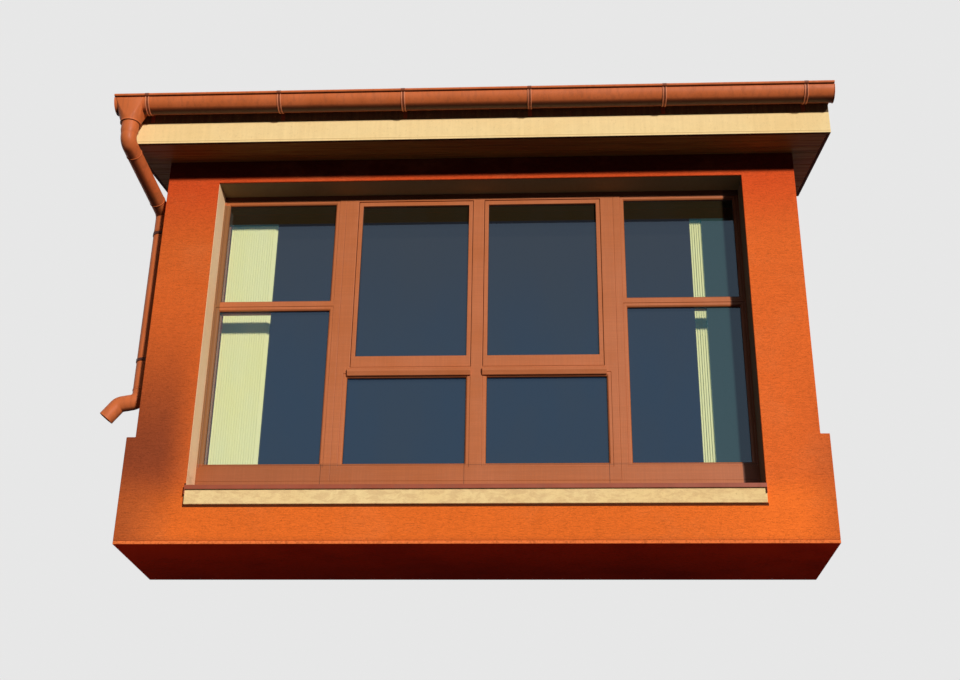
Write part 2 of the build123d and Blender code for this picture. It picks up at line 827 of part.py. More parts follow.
def rimmed_length(joint, direction, *points, narrowed=True):
    """A tube that takes the spigot above it at a joint, with a rolled rim round its upper end."""
    first = joint + direction * seat_gap
    pipe_length([first, *points], narrowed)
    ring(Plane(origin=first, z_dir=direction), pipe_radius + rim_lip, bore, rim_length)


with BuildPart() as swan_neck:
    # The upper elbow is pushed over the outlet with a sleeve
    pipe_length([joint_outlet, *bend(corner_top, down, run_direction), joint_upper])
    elbow_top = Plane(origin=joint_outlet, z_dir=down)
    sleeve_outer = pipe_radius + outlet_sleeve_step
    ring(elbow_top, sleeve_outer, bore, spigot_step)
    ring(elbow_top, sleeve_outer, pipe_radius + pipe_clearance, seat_gap - sleeve_length)
    rimmed_length(joint_upper, run_direction, joint_lower)
    rimmed_length(joint_lower, run_direction, *bend(corner_low, run_direction, down), joint_offset)
finish(swan_neck, "swan_neck")

with BuildPart() as downpipe:
    rimmed_length(joint_offset, down, joint_shoe)
    heel = bend(corner_shoe, down, shoe_direction)
    toe = bend(corner_mouth, shoe_direction, mouth_direction)
    rimmed_length(joint_shoe, down, *heel, *toe, shoe_end, narrowed=False)
finish(downpipe, "downpipe")

# Clamps: a band round the vertical pipe on a rod that stands in the cheek
with BuildPart() as pipe_clamps:
    band_inner = pipe_radius + seat_gap
    band_outer = band_inner + clamp_thickness
    band_middle = (band_inner + band_outer) / 2
    for height in (joint_offset.Z - upper_clamp_drop, joint_shoe.Z + lower_clamp_rise):
        with BuildSketch(Plane.XY.offset(height - clamp_width / 2)):
            with Locations((pipe_x, pipe_y)):
                Circle(band_outer)
                Circle(band_inner, mode=Mode.SUBTRACT)
        extrude(amount=clamp_width)
        stem_x = pipe_x + band_middle
        with BuildSketch(Plane(origin=(stem_x, pipe_y, height), z_dir=(1, 0, 0))):
            Circle(clamp_stem_radius)
        extrude(amount=-half_bay - stem_x)
finish(pipe_clamps, "pipe_clamps")
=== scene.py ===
from math import cos, pi, radians, sin

import bmesh
import bpy
from bpy.props import FloatProperty, FloatVectorProperty, IntProperty, PointerProperty
from mathutils import Matrix, Vector


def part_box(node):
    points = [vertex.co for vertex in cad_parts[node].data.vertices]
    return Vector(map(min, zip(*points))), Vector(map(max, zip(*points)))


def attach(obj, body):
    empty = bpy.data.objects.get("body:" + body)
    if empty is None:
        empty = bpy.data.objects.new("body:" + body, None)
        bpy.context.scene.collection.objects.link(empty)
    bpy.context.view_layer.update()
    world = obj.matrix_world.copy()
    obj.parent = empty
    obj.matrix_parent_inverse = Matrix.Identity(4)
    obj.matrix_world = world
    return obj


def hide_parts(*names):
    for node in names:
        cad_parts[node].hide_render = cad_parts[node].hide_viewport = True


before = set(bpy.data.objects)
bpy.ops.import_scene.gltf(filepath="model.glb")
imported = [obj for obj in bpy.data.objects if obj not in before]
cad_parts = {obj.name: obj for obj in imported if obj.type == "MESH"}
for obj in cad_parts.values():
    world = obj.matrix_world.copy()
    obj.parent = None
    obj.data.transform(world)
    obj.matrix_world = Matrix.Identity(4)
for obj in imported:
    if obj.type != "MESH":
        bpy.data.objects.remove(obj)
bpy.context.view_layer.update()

bl_info = {
    "name": "Oriel window looks",
    "version": (1, 0, 0),
    "blender": (4, 5, 0),
    "location": "View3D > Sidebar > Oriel",
    "description": "Dresses the packed oriel window with walls, frames, glass, blinds and gutter",
    "category": "Object",
}

ROOT = "root"

# Sizes of the box, in metres
HALF_BAY = 2.045
SHOULDER_TOP = 0.522
BOX_FOOT = -0.145
COAT_EDGE = 0.012  # how far the wall's own render reaches into the opening
FRONT_Y, PIER_BACK_Y = (corner.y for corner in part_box("front_pier_left"))
EAVES_DEPTH = -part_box("fascia_front")[0].y
DRIP_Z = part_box("fascia_front")[0].z
CHEEK_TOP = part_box("cheek_wall_left")[1].z
ROOF_SLOPE = (CHEEK_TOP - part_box("front_lintel")[1].z) / -PIER_BACK_Y

# Window: the lights as they are seen between the beads
pane_low, pane_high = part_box("fixed_glass")
PANE_COVER = 0.0257  # how far a fixed pane reaches behind its beads
SASH_COVER = 0.0137
SIDE_LIGHT_WIDTH = 0.7146
LOW_SIDE_HEIGHT = 1.046
SIDE_TRANSOM = 0.068
LOW_MIDDLE_HEIGHT = 0.571
HALF_MULLION = 0.0643
LOW_MIDDLE_END = 0.8123
SASH_LIGHT_START = 0.0655
LIGHT_FOOT, LIGHT_HEAD = pane_low.z + PANE_COVER, pane_high.z - PANE_COVER
# Upright joints in the rail, at the left edge of each mullion
RAIL_JOINTS = (-0.9405, -0.0655, 0.8120)

# Blinds: inner ends of the two stacks, and the parts of the panes through which they are seen
LEFT_STACK_END, RIGHT_STACK_END = -1.377, 1.403
LEFT_CLEAR_END, RIGHT_CLEAR_START = -1.335, 1.38
STRIP_END = 1.457  # right end of the lit strip
# Above BAND_FOOT the panes stay dark over the blinds too, a painted shade for the blinds' shaded tops
BAND_FOOT = 2.112  # foot of the dark band at the head of the lights

# Gutter, as in the CAD model, with the line on the fascia above which it keeps the key light off
GUTTER_AXIS = (-1.219, 2.6522)
GUTTER_RADIUS = 0.075
GUTTER_WALL = 0.003
BEAD_RADIUS = 0.0095
BEAD_Y = -1.302
BEAD_RISE = 0.010
HALF_STRAP = 0.0125
STRAP_PLACES = (0.0, 0.204, 0.394, 0.586, 0.789, 1.0)
KEY_SLOPE = 0.21
GRAZE_DROP = GUTTER_RADIUS * (1 + KEY_SLOPE ** 2) ** 0.5  # from the axis down to the ray that grazes it
SHADE_Z = GUTTER_AXIS[1] - GRAZE_DROP + KEY_SLOPE * (EAVES_DEPTH + GUTTER_AXIS[0])

# Corners and joints of the downpipe, as in the CAD model
PIPE_RADIUS = 0.050
PIPE_WALL = 0.003
BEND_RADIUS = 0.056
SLEEVE_RADIUS = 0.055
SLEEVE_TOP = 2.49589
CLAMP_WIDTH = 0.020
OUTLET_X = -2.202
OUTLET_HOLE = 0.047
CORNER_TOP = Vector((OUTLET_X, -1.219, 2.36519))
CORNER_LOW = Vector((-2.117, -0.595, 2.19419))
CORNER_SHOE = Vector((-2.117, -0.595, 0.840))
CORNER_MOUTH = Vector((-2.245, -0.595, 0.818))
SHOE_END = Vector((-2.317, -0.595, 0.726))
JOINT_OUTLET = Vector((OUTLET_X, -1.219, 2.41602))
JOINT_UPPER = Vector((-2.18817, -1.11746, 2.33737))
JOINT_LOWER = Vector((-2.1336, -0.71688, 2.22759))
JOINT_OFFSET = Vector((-2.117, -0.595, 2.05037))
JOINT_SHOE = Vector((-2.117, -0.595, 0.914196))

# Camera, solved from the straight edges of the part
EYE = Vector((0.45480, -8.24693, -2.33554))
EYE_PITCH, EYE_ROLL, EYE_YAW = radians(25.0290), radians(-0.8528), radians(3.2585)


# Settings
def colour(name, description, *default):
    return FloatVectorProperty(name=name, description=description, subtype="COLOR", size=3, min=0, max=1,
                               default=default)


def length(name, description, low, high, default):
    return FloatProperty(name=name, description=description, unit="LENGTH", min=low, max=high,
                         default=default)


def strength(name, description, high, default):
    return FloatProperty(name=name, description=description, min=0, max=high, default=default)


class OrielColours(bpy.types.PropertyGroup):
    """Colours of the finishes."""

    render: colour("Wall render", "Orange scratched render", 0.74, 0.132, 0.021)
    render_top: colour("Wall render, upper part", "Redder tone under the eaves", 0.66, 0.068, 0.0125)
    underside: colour("Underside", "Dark red render under the box", 0.86, 0.032, 0.002)
    cream: colour("Trim render", "Cream render of fascias, reveals and sill", 0.94, 0.69, 0.325)
    soffit: colour("Soffit boards", "Dark stained boards", 0.3, 0.15, 0.034)
    metal: colour("Sheet metal", "Coated gutter, pipes and roof sheet", 0.63, 0.145, 0.037)
    clamps: colour("Pipe clamps", "Darker metal of the pipe clamps", 0.07, 0.016, 0.008)
    frames: colour("Frames", "Red-brown paint of the window frames", 0.515, 0.14, 0.04)
    sill: colour("Sill metal", "Coated sill sheet", 0.335, 0.072, 0.032)
    blind: colour("Blinds", "Pale green slats", 0.86, 0.82, 0.34)
    glass: colour("Glass", "Tint of the panes", 0.02, 0.013, 0.005)


class OrielSizes(bpy.types.PropertyGroup):
    """Sizes of the details that the looks add."""

    wall_rounding: length("Wall corner", "Rounding of the rendered corners", 0.001, 0.02, 0.004)
    frame_rounding: length("Frame edge", "Rounding of the painted edges", 0.0005, 0.006, 0.0022)
    gasket: length("Gasket", "Width of the dark seal round each pane", 0.001, 0.01, 0.004)
    slat_pitch: length("Slat pitch", "Distance between the drawn-back slats", 0.006, 0.05, 0.0155)
    soffit_board: length("Soffit board", "Width of a soffit board", 0.05, 0.3, 0.098)
    board_gap: length("Board gap", "Gap between soffit boards", 0.001, 0.02, 0.0016)
    screw_radius: length("Screw head", "Radius of a strap's screw head", 0.002, 0.01, 0.0045)
    seed: IntProperty(name="Seed", description="Start value of everything irregular", min=0, default=4)


class OrielStage(bpy.types.PropertyGroup):
    """Light and camera."""

    sun_strength: strength("Key light", "Strength of the key light", 10, 3.15)
    sun_angle: FloatProperty(name="Key softness", description="Angular size of the key light",
                             subtype="ANGLE", min=0, max=1, default=radians(4))
    fill: strength("Fill", "Strength of the light from the front", 2, 0.03)
    bounce: strength("Bounce", "Strength of the light from straight below", 2, 0.2)
    sky: strength("Sky", "Strength of the light from above and behind", 2, 0.6)
    lens: FloatProperty(name="Lens", description="Focal length", subtype="DISTANCE_CAMERA", min=10, max=200,
                        default=50.126)


# Shader helpers
def add_node(tree, kind, settings=None, values=None):
    """Add one node, set it up, and link or set its inputs."""
    made = tree.nodes.new(kind)
    for key, value in (settings or {}).items():
        setattr(made, key, value)
    for key, value in (values or {}).items():
        socket = getattr(value, "socket", value)
        if isinstance(socket, bpy.types.NodeSocket):
            tree.links.new(socket, made.inputs[key])
        else:
            made.inputs[key].default_value = value
    return made


def operator(operation, swapped=False):
    """A Python operator between tones that adds one Math node."""
    def apply(self, other):
        pair = (other, self) if swapped else (self, other)
        return self.finish.node("ShaderNodeMath", {"operation": operation}, dict(enumerate(pair)))
    return apply


class Tone:
    """A shader socket that takes part in Python expressions."""

    def __init__(self, finish, socket):
        self.finish = finish
        self.socket = socket

    __add__ = __radd__ = operator("ADD")
    __sub__ = operator("SUBTRACT")
    __rsub__ = operator("SUBTRACT", swapped=True)
    __mul__ = __rmul__ = operator("MULTIPLY")
    __truediv__ = operator("DIVIDE")
    __mod__ = operator("FLOORED_MODULO")
    __gt__ = operator("GREATER_THAN")
    __lt__ = operator("LESS_THAN")
    largest = operator("MAXIMUM")

    def __abs__(self):
        return self.finish.node("ShaderNodeMath", {"operation": "ABSOLUTE"}, {0: self})

    def between(self, low, high, to_low=0.0, to_high=1.0):
        """The value mapped smoothly from one range to another."""
        return self.finish.node(
            "ShaderNodeMapRange", {"interpolation_type": "SMOOTHSTEP"},
            {"Value": self, "From Min": low, "From Max": high, "To Min": to_low, "To Max": to_high})


class Finish:
    """Shader nodes that are being put together, for a new material or for a given owner."""

    def __init__(self, owner):
        self.owner = bpy.data.materials.new(owner) if isinstance(owner, str) else owner
        self.owner.use_nodes = True
        self.tree = self.owner.node_tree
        self.tree.nodes.clear()

    def node(self, kind, settings=None, values=None, output=0):
        """Add one node and hand back one of its outputs."""
        return Tone(self, add_node(self.tree, kind, settings, values).outputs[output])

    def place(self):
        """Object coordinates, in metres in the part's own frame."""
        return self.node("ShaderNodeTexCoord", output=3)

    def axes(self, vector=None):
        """The three numbers of a vector, by default of the place."""
        split = add_node(self.tree, "ShaderNodeSeparateXYZ", None, {0: vector or self.place()})
        return [Tone(self, output) for output in split.outputs]

    def facing(self):
        """The three numbers of the direction in which the surface faces."""
        return self.axes(self.node("ShaderNodeNewGeometry", output=1))

    def scaled(self, scale, shift=(0, 0, 0)):
        """The place stretched by one scale, or by one along each axis."""
        if not isinstance(scale, tuple):
            scale = (scale, scale, scale)
        return self.node("ShaderNodeMapping", None,
                         {"Vector": self.place(), "Location": shift, "Scale": scale})

    def noise(self, scale, detail=3.0, roughness=0.55, distortion=0.0, shift=(0, 0, 0)):
        """Noise with its own number of waves to the metre along each axis."""
        return self.node(
            "ShaderNodeTexNoise", None,
            {"Vector": self.scaled(scale, shift), "Scale": 1.0, "Detail": detail, "Roughness": roughness,
             "Distortion": distortion})

    def bands(self, **values):
        """Waves that follow each other upwards."""
        values = {key.replace("_", " "): value for key, value in values.items()}
        return self.node("ShaderNodeTexWave", {"wave_type": "BANDS", "bands_direction": "Z"},
                         {"Vector": self.place(), **values})

    def mix(self, share, first, second):
        """Mix two colours."""
        values = {0: share}
        for index, colour in ((6, first), (7, second)):
            values[index] = colour if isinstance(colour, Tone) else (*colour, 1.0)
        return self.node("ShaderNodeMix", {"data_type": "RGBA"}, values, output=2)

    def ramp(self, share, *stops):
        """A colour that runs through (place, colour) stops."""
        made = add_node(self.tree, "ShaderNodeValToRGB", None, {"Fac": share})
        elements = made.color_ramp.elements
        while len(elements) < len(stops):
            elements.new(0.5)
        for element, (place, colour) in zip(elements, stops):
            element.position = place
            element.color = (*colour, 1)
        return Tone(self, made.outputs[0])

    def shade(self, colour, factor):
        """A colour made darker or lighter by a number that changes over the surface."""
        grey = self.node("ShaderNodeCombineXYZ", None, {0: factor, 1: factor, 2: factor})
        return self.node("ShaderNodeVectorMath", {"operation": "MULTIPLY"}, {0: colour, 1: grey})

    def bump(self, height, distance, strength):
        return self.node("ShaderNodeBump", None,
                         {"Height": height, "Distance": distance, "Strength": strength})

    def surface(self, **values):
        """Finish the material with a Principled shader."""
        sockets = {key.replace("_", " "): value for key, value in values.items()}
        self.close("ShaderNodeOutputMaterial", self.node("ShaderNodeBsdfPrincipled", None, sockets))
        return self.owner

    def close(self, kind, shader):
        """Lead a shader to an output node."""
        add_node(self.tree, kind, None, {"Surface": shader})


def graded(colour, gain, lift=0.0):
    """A colour made paler or darker as a whole."""
    return tuple(min(1.0, part * gain + lift) for part in colour)


# Finishes
def scratched_render(name, colour, upper):
    """Through-coloured render whose surface was dragged sideways with a float."""
    f = Finish(name)
    x, y, z = f.axes()
    grooves = f.noise((55, 55, 260), 2.5, 0.6, 1.2).between(0.36, 0.5)
    drags = f.noise((14, 14, 170), 2.0, 0.5, 0.8, (3, 1, 2)).between(0.33, 0.55)
    grains = f.node("ShaderNodeTexVoronoi", None, {"Vector": f.scaled(420), "Scale": 1.0})
    clouds = f.noise((1.1, 1.1, 0.9), 3.0, 0.6)
    runs = f.noise((9, 9, 0.5), 3.0, 0.6, 0.0, (7, 2, 0))
    pits = f.noise((170, 170, 240), 2.0, 0.6, 0.8, (6, 3, 1)).between(0.38, 0.56)
    # Redder towards the eaves, brighter low down, and painted deep shade right under the soffit on the front
    coat = f.mix(z.between(1.75, 2.35) * 0.85 + clouds * 0.3 - 0.15, colour, upper)
    coat = f.mix(z.between(0.3, 0.1), coat, (0.88, 0.165, 0.02))
    coat = f.mix(z.between(2.315, 2.36, 0.0, 0.94) * (y < FRONT_Y + 0.004), coat, (0.06, 0.002, 0.001))
    coat = f.mix(f.noise((2.3, 2.3, 3.1), 4.0, 0.65, 0.0, (1, 5, 3)).between(0.45, 0.8, 0.0, 0.16), coat,
                 (0.78, 0.26, 0.09))
    # Darker low on the left pier, at the lower left corner and at the lower right one
    darker_left_pier = x.between(-1.62, -1.9) * z.between(-0.12, 0.4) * z.between(1.5, 0.4) * 0.9
    darker_lower_left = x.between(-1.75, -2.1) * z.between(0.25, -0.12) * 0.6
    darker_lower_right = x.between(1.88, 2.12) * z.between(1.1, 0.3) * 0.35
    coat = f.mix(darker_left_pier + darker_lower_left + darker_lower_right, coat, (0.25, 0.05, 0.018))
    # Painted shadow under the sill's bed and beside its left end
    ledge, ledge_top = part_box("rendered_sill")
    near = z > ledge.z - 0.015
    under = near * (z < ledge.z + 0.003) * (abs(x) < 0.006 - ledge.x)
    beside = near * (z < ledge_top.z) * (x > ledge.x - 0.008) * (x < ledge.x + 0.002)
    coat = f.mix(under.largest(beside) * 0.93, coat, (0.04, 0.01, 0.003))
    # Darker along the lower edge
    coat = f.mix(z.between(BOX_FOOT, BOX_FOOT + 0.055, 0.35, 0.0), coat, (0.3, 0.07, 0.02))
    shading = grooves * 0.2 + pits * 0.12 + drags * 0.09 + clouds * 0.16 + runs * 0.1 + 0.44
    height = grooves * 0.6 + drags * 0.35 + grains * 0.25 + pits * 0.5
    return f.surface(
        Base_Color=f.shade(coat, shading * x.between(1.2, 1.8, 1.14, 1.32)),
        Roughness=grooves.between(0, 1, 0.96, 0.86), Specular_IOR_Level=0.12,
        Normal=f.bump(height, 0.0018, 0.7))


def trim_render(name, colour, depth=1.0, shaded=1.0):
    """Smooth cream render with faint runs from rain and a fine sandy grain."""
    f = Finish(name)
    x, y, z = f.axes()
    facing = f.facing()
    sand = f.noise(900, 2.0, 0.5)
    trowel = f.noise((16, 16, 30), 3.0, 0.6, 0.6, (4, 0, 9))
    runs = f.noise((34, 34, 1.2), 3.0, 0.6, 0.3, (0, 8, 1)).between(0.3, 0.75)
    clouds = f.noise((1.6, 1.6, 2.2), 3.0, 0.6, 0.0, (9, 9, 2))
    grains = f.noise(70, 3.0, 0.7, 0.0, (2, 6, 3)).between(0.56, 0.72)
    spots = f.noise(24, 4.0, 0.75, 0.0, (7, 1, 4)).between(0.66, 0.74)
    coat = f.mix(clouds.between(0.35, 0.75, 0.0, 0.3), colour, (0.86, 0.52, 0.17))
    # Painted shadow of the gutter on the front fascia
    shade = z.between(SHADE_Z, SHADE_Z + 0.005) * (facing[1] < -0.5) * (y < 0.02 - EAVES_DEPTH) * 0.93
    coat = f.mix(shade, coat, (0.03, 0.008, 0.003))
    low_part = z.between(DRIP_Z, DRIP_Z + 0.14, 0.42, 0.2)
    coat = f.mix(runs * 0.12 + grains * 0.2 + spots * low_part, coat, (0.5, 0.31, 0.13))
    # Blots on the sill's bed
    blots = f.noise((15, 15, 34), 5.0, 0.75, 0.4, (3, 3, 8)).between(0.42, 0.62)
    coat = f.mix(blots * z.between(0.3, 0.325, 0.4, 0.0), coat, (0.58, 0.33, 0.15))
    # A line over the fascia's lower edge, and painted shade on its underside
    eaves = z.between(2.3, 2.35)
    line = z.between(DRIP_Z + 0.013, DRIP_Z + 0.016) - z.between(DRIP_Z + 0.018, DRIP_Z + 0.021)
    coat = f.mix(eaves * line * 0.5, coat, (0.45, 0.27, 0.09))
    coat = f.mix((facing[2] < -0.6) * eaves, coat, (0.07, 0.018, 0.004))
    # depth scales a copy's whole brightness: above 1 a painted light, below 1 a painted shade
    # shaded darkens the copy towards its right end as painted shade
    shading = (sand * 0.16 + trowel * 0.12 + 0.89) * z.between(0.24, 0.4, 0.97 * depth, depth)
    return f.surface(
        Base_Color=f.shade(coat, shading * x.between(-1.0, 1.0, 1.0, shaded)), Roughness=0.85,
        Specular_IOR_Level=0.25, Normal=f.bump(sand * 0.4 + trowel, 0.0008, 0.4))


def dark_render(name, colour):
    """The underside: the same render, never lit by the sun and stained by damp."""
    f = Finish(name)
    x, y, _ = f.axes()
    worms = f.noise((60, 220, 60), 2.5, 0.6, 1.0).between(0.35, 0.55)
    clouds = f.noise((1.3, 1.7, 1.3), 4.0, 0.65)
    damp = f.mix(clouds.between(0.4, 0.7, 0.0, 0.6), colour, (0.5, 0.014, 0.002))
    # Painted shade towards the main wall, painted light towards the front and the ends
    painted_light_falloff = y.between(FRONT_Y, -0.1, 1.25, 0.75) * abs(x).between(1.0, 2.1, 0.95, 1.25)
    edged = f.mix(f.facing()[2] > -0.5, f.shade(damp, painted_light_falloff), (0.86, 0.19, 0.045))
    return f.surface(Base_Color=f.shade(edged, worms * 0.35 + 0.72), Roughness=0.92, Specular_IOR_Level=0.04,
                     Normal=f.bump(worms, 0.0012, 0.5))


def stained_boards(name, colour):
    """Dark stain over boards, with the grain along them."""
    f = Finish(name)
    grain = f.noise((2.2, 60, 60), 4.0, 0.65, 0.9)
    pores = f.noise((9, 420, 420), 2.0, 0.5, 0.0, (2, 2, 2))
    patches = f.noise((0.9, 4, 4), 2.0, 0.5, 0.0, (5, 1, 1))
    coat = f.mix(grain.between(0.35, 0.7, 0.0, 0.6), colour, (0.09, 0.024, 0.007))
    return f.surface(
        Base_Color=f.mix(patches.between(0.45, 0.75, 0.0, 0.5), coat, (0.2, 0.05, 0.012)),
        Roughness=grain.between(0.3, 0.7, 0.55, 0.7), Specular_IOR_Level=0.1,
        Normal=f.bump(grain * 0.7 + pores * 0.3, 0.0007, 0.5))


def coated_metal(name, colour, dirt=(0.16, 0.045, 0.02), below=0.0):
    """Factory-coated sheet metal with a slight orange peel, rain marks and dark faces below."""
    f = Finish(name)
    facing = f.facing()
    peel = f.noise(260, 2.0, 0.5)
    dents = f.noise(6, 2.0, 0.5, 0.0, (1, 7, 4))
    marks = f.noise((40, 40, 2.2), 3.0, 0.6, 0.4, (3, 3, 0)).between(0.42, 0.72)
    specks = f.noise(90, 4.0, 0.7, 0.0, (8, 2, 5)).between(0.6, 0.74)
    coat = f.mix(dents.between(0.35, 0.7, 0.0, 0.35), colour, graded(colour, 1.25, 0.02))
    coat = f.mix(marks * 0.22 + specks * 0.3, coat, dirt)
    # Painted shade on down-facing faces, eased by painted reflected light where they look back to the wall
    down = (facing[2] * -1.0).between(0.76, 0.98) * (1.0 - facing[1].between(0.08, 0.2, 0.0, 0.22))
    return f.surface(
        Base_Color=f.mix(down * below, coat, (0.035, 0.01, 0.005)), Metallic=0.0,
        Roughness=marks * 0.14 + peel * 0.1 + 0.4, Specular_IOR_Level=0.22, Coat_Weight=0.03,
        Coat_Roughness=0.3, Normal=f.bump(peel * 0.12 + dents, 0.0012, 0.35))


def painted_wood(name, colour):
    """Paint on planed wood: a faint grain shows through and the paint has chalked a little."""
    f = Finish(name)
    x, _, z = f.axes()
    upright = f.noise((160, 160, 3.0), 3.0, 0.6, 0.5)
    level = f.noise((3.0, 160, 160), 3.0, 0.6, 0.5, (4, 4, 4))
    grain = upright * 0.5 + level * 0.5
    patches = f.noise(2.5, 3.0, 0.6, 0.0, (6, 2, 8))
    dust = f.noise(70, 4.0, 0.7, 0.0, (1, 1, 3)).between(0.55, 0.75)
    coat = f.mix(patches.between(0.35, 0.7, 0.0, 0.4), colour, graded(colour, 1.12, 0.03))
    coat = f.mix(grain.between(0.42, 0.62, 0.22, 0.0), coat, graded(colour, 0.55))
    coat = f.mix(dust * 0.12, coat, (0.42, 0.26, 0.16))
    # Joints of the cover strips on the rail, which is darker towards the left
    on_rail = z < LIGHT_FOOT
    rail_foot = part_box("bottom_rail")[0].z
    joints = (abs(z - LIGHT_FOOT + 0.012) < 0.0012) + (abs(z - rail_foot - 0.011) < 0.0015)
    for place in RAIL_JOINTS:
        joints = joints + (abs(x - place) < 0.0018)
    coat = f.mix(on_rail * joints * 0.75, coat, (0.06, 0.015, 0.006))
    coat = f.shade(coat, 1.0 - on_rail * x.between(-1.8, 0.0, 0.3, 0.08))
    # Browner left jamb, and the reveal's shadow painted on the right jamb and the head
    on_jamb = (x < pane_low.x + PANE_COVER) * (z > LIGHT_FOOT) * (z < LIGHT_HEAD)
    coat = f.mix(on_jamb * 0.8, coat, (0.2, 0.1, 0.035))
    jamb_shade = x.between(1.602, 1.61, 0.0, 0.7)
    head_shade = z.between(LIGHT_HEAD + 0.02, LIGHT_HEAD + 0.026, 0.0, 0.85)
    for shade in (jamb_shade, head_shade):
        coat = f.mix(shade, coat, (0.04, 0.011, 0.005))
    return f.surface(
        Base_Color=coat, Roughness=patches.between(0.3, 0.7, 0.4, 0.52), Specular_IOR_Level=0.25,
        Coat_Weight=0.05, Coat_Roughness=0.3, Normal=f.bump(grain, 0.0006, 0.35))


def window_glass(name, tint):
    """Panes that are see-through in front of the drawn-back blinds and dark before the room."""
    f = Finish(name)
    x, _, z = f.axes()
    # Dark, nearly opaque panes before the room are painted shade for the unlit room behind
    over_blinds = (x > RIGHT_CLEAR_START) * (x < STRIP_END) + (x < LEFT_CLEAR_END)
    clear = over_blinds * (z < BAND_FOOT)
    # Only the face towards the viewer outside is dark, so that light leaves the room
    outside = f.facing()[1] < 0.0
    film = f.noise((3, 3, 1.4), 3.0, 0.6)
    smears = f.noise((22, 22, 5), 3.0, 0.65, 0.5, (2, 5, 1))
    # Bluer low down, a painted reflection of the sky; the plain tint higher up
    body = f.mix(z.between(0.8, 2.1, 0.0, 0.55) + (z > BAND_FOOT) * 0.45, (0.004, 0.019, 0.044), tint)
    body = f.mix(film.between(0.35, 0.7, 0.0, 0.2), body, (0.02, 0.02, 0.018))
    # Teal over the right stack beyond the lit strip: painted shade of the stack under a painted reflection
    body = f.mix((x > STRIP_END) * (z < BAND_FOOT) * 0.85, body, (0.026, 0.06, 0.056))
    # A blue-green veil where the blinds are seen: a painted reflection of the sky
    body = f.mix(clear, body, (0.0, 0.36, 0.5))
    return f.surface(
        Base_Color=body, Metallic=0.0, Roughness=smears.between(0.4, 0.8, 0.015, 0.05), IOR=1.74,
        Specular_Tint=(0.5, 0.72, 1.0, 1.0), Alpha=outside * (0.9 - clear * 0.84) + 0.03)


def slat_fabric(name, colour):
    """Coated woven fabric of the blind's slats."""
    f = Finish(name)
    weave = f.bands(Scale=130.0, Distortion=0.4, Detail=1.0)
    threads = f.noise((900, 900, 60), 2.0, 0.5)
    age = f.noise((3, 3, 1.2), 3.0, 0.6)
    faded = f.mix(age.between(0.35, 0.7, 0.0, 0.35), colour, (0.8, 0.82, 0.5))
    return f.surface(
        Base_Color=f.shade(faded, weave * 0.05 + threads * 0.08 + 0.93), Roughness=0.85,
        Specular_IOR_Level=0.2, Sheen_Weight=0.15, Normal=f.bump(weave * 0.5 + threads, 0.0004, 0.4))


def oak_boards(name):
    """Oiled oak boards, 140 mm wide, laid along the window."""
    f = Finish(name)
    x, y, _ = f.axes()
    row = y / 0.14
    seam = (row % 1.0).between(0.0, 0.025)
    line = row - row % 1.0
    stepped = f.node("ShaderNodeCombineXYZ", None, {0: x * 1.4 + line * 0.37, 1: line * 3.1, 2: line * 1.7})
    board = f.node("ShaderNodeTexNoise", None, {"Vector": stepped, "Scale": 0.7, "Detail": 0.0})
    grain = f.noise((5, 130, 130), 4.0, 0.6, 1.1)
    wood = f.ramp(grain * 0.75 + board * 0.25,
                  (0.25, (0.2, 0.1, 0.04)), (0.5, (0.36, 0.21, 0.1)), (0.75, (0.47, 0.3, 0.16)))
    return f.surface(
        Base_Color=f.shade(wood, seam * 0.6 + 0.4), Roughness=grain.between(0.3, 0.7, 0.38, 0.52),
        Coat_Weight=0.2, Coat_Roughness=0.35, Normal=f.bump(seam * 0.8 + grain * 0.2, 0.001, 0.5))


def plaster(name, colour):
    """Rolled emulsion paint on board."""
    f = Finish(name)
    roller = f.noise(240, 3.0, 0.6)
    clouds = f.noise(1.5, 3.0, 0.6)
    coat = f.shade(f.mix(clouds.between(0.35, 0.7, 0.0, 0.3), colour, (0.7, 0.64, 0.5)), roller * 0.06 + 0.95)
    return f.surface(Base_Color=coat, Roughness=0.8, Specular_IOR_Level=0.3,
                     Normal=f.bump(roller, 0.0005, 0.35))


def panel_wood(name):
    """Layered timber panel, seen only at its cut back edges."""
    f = Finish(name)
    layers = f.bands(Scale=7.0, Distortion=0.5, Detail=2.0, Detail_Scale=2.0)
    grain = f.noise((4, 60, 120), 4.0, 0.6, 0.8)
    wood = f.ramp(layers * 0.4 + grain * 0.6,
                  (0.2, (0.36, 0.22, 0.1)), (0.6, (0.58, 0.4, 0.2)), (0.9, (0.7, 0.52, 0.3)))
    return f.surface(Base_Color=wood, Roughness=0.75, Specular_IOR_Level=0.3,
                     Normal=f.bump(grain, 0.001, 0.4))


def dark_rubber(name):
    """Seals round the panes, dusty on top."""
    f = Finish(name)
    dust = f.noise(180, 4.0, 0.7).between(0.45, 0.75)
    return f.surface(
        Base_Color=f.mix(dust * 0.5, (0.012, 0.008, 0.007), (0.07, 0.045, 0.03)), Roughness=dust * 0.2 + 0.55,
        Specular_IOR_Level=0.3, Normal=f.bump(dust, 0.0003, 0.4))


def brushed_aluminium(name):
    """Natural anodised aluminium, brushed along its length."""
    f = Finish(name)
    brush = f.noise((2, 500, 500), 3.0, 0.6)
    return f.surface(Base_Color=f.mix(brush, (0.62, 0.62, 0.6), (0.78, 0.78, 0.76)), Metallic=1.0,
                     Roughness=brush * 0.2 + 0.28, Normal=f.bump(brush, 0.0002, 0.3))


def pale_floor(name):
    """The ground: pale where the camera sees it, dark to the light that it throws back."""
    f = Finish(name)
    pale = f.mix(f.noise(0.6, 3.0, 0.5), (0.8, 0.8, 0.79), (0.86, 0.86, 0.85))
    return f.surface(Base_Color=f.mix(f.node("ShaderNodeLightPath"), (0.1, 0.1, 0.1), pale), Roughness=0.9)


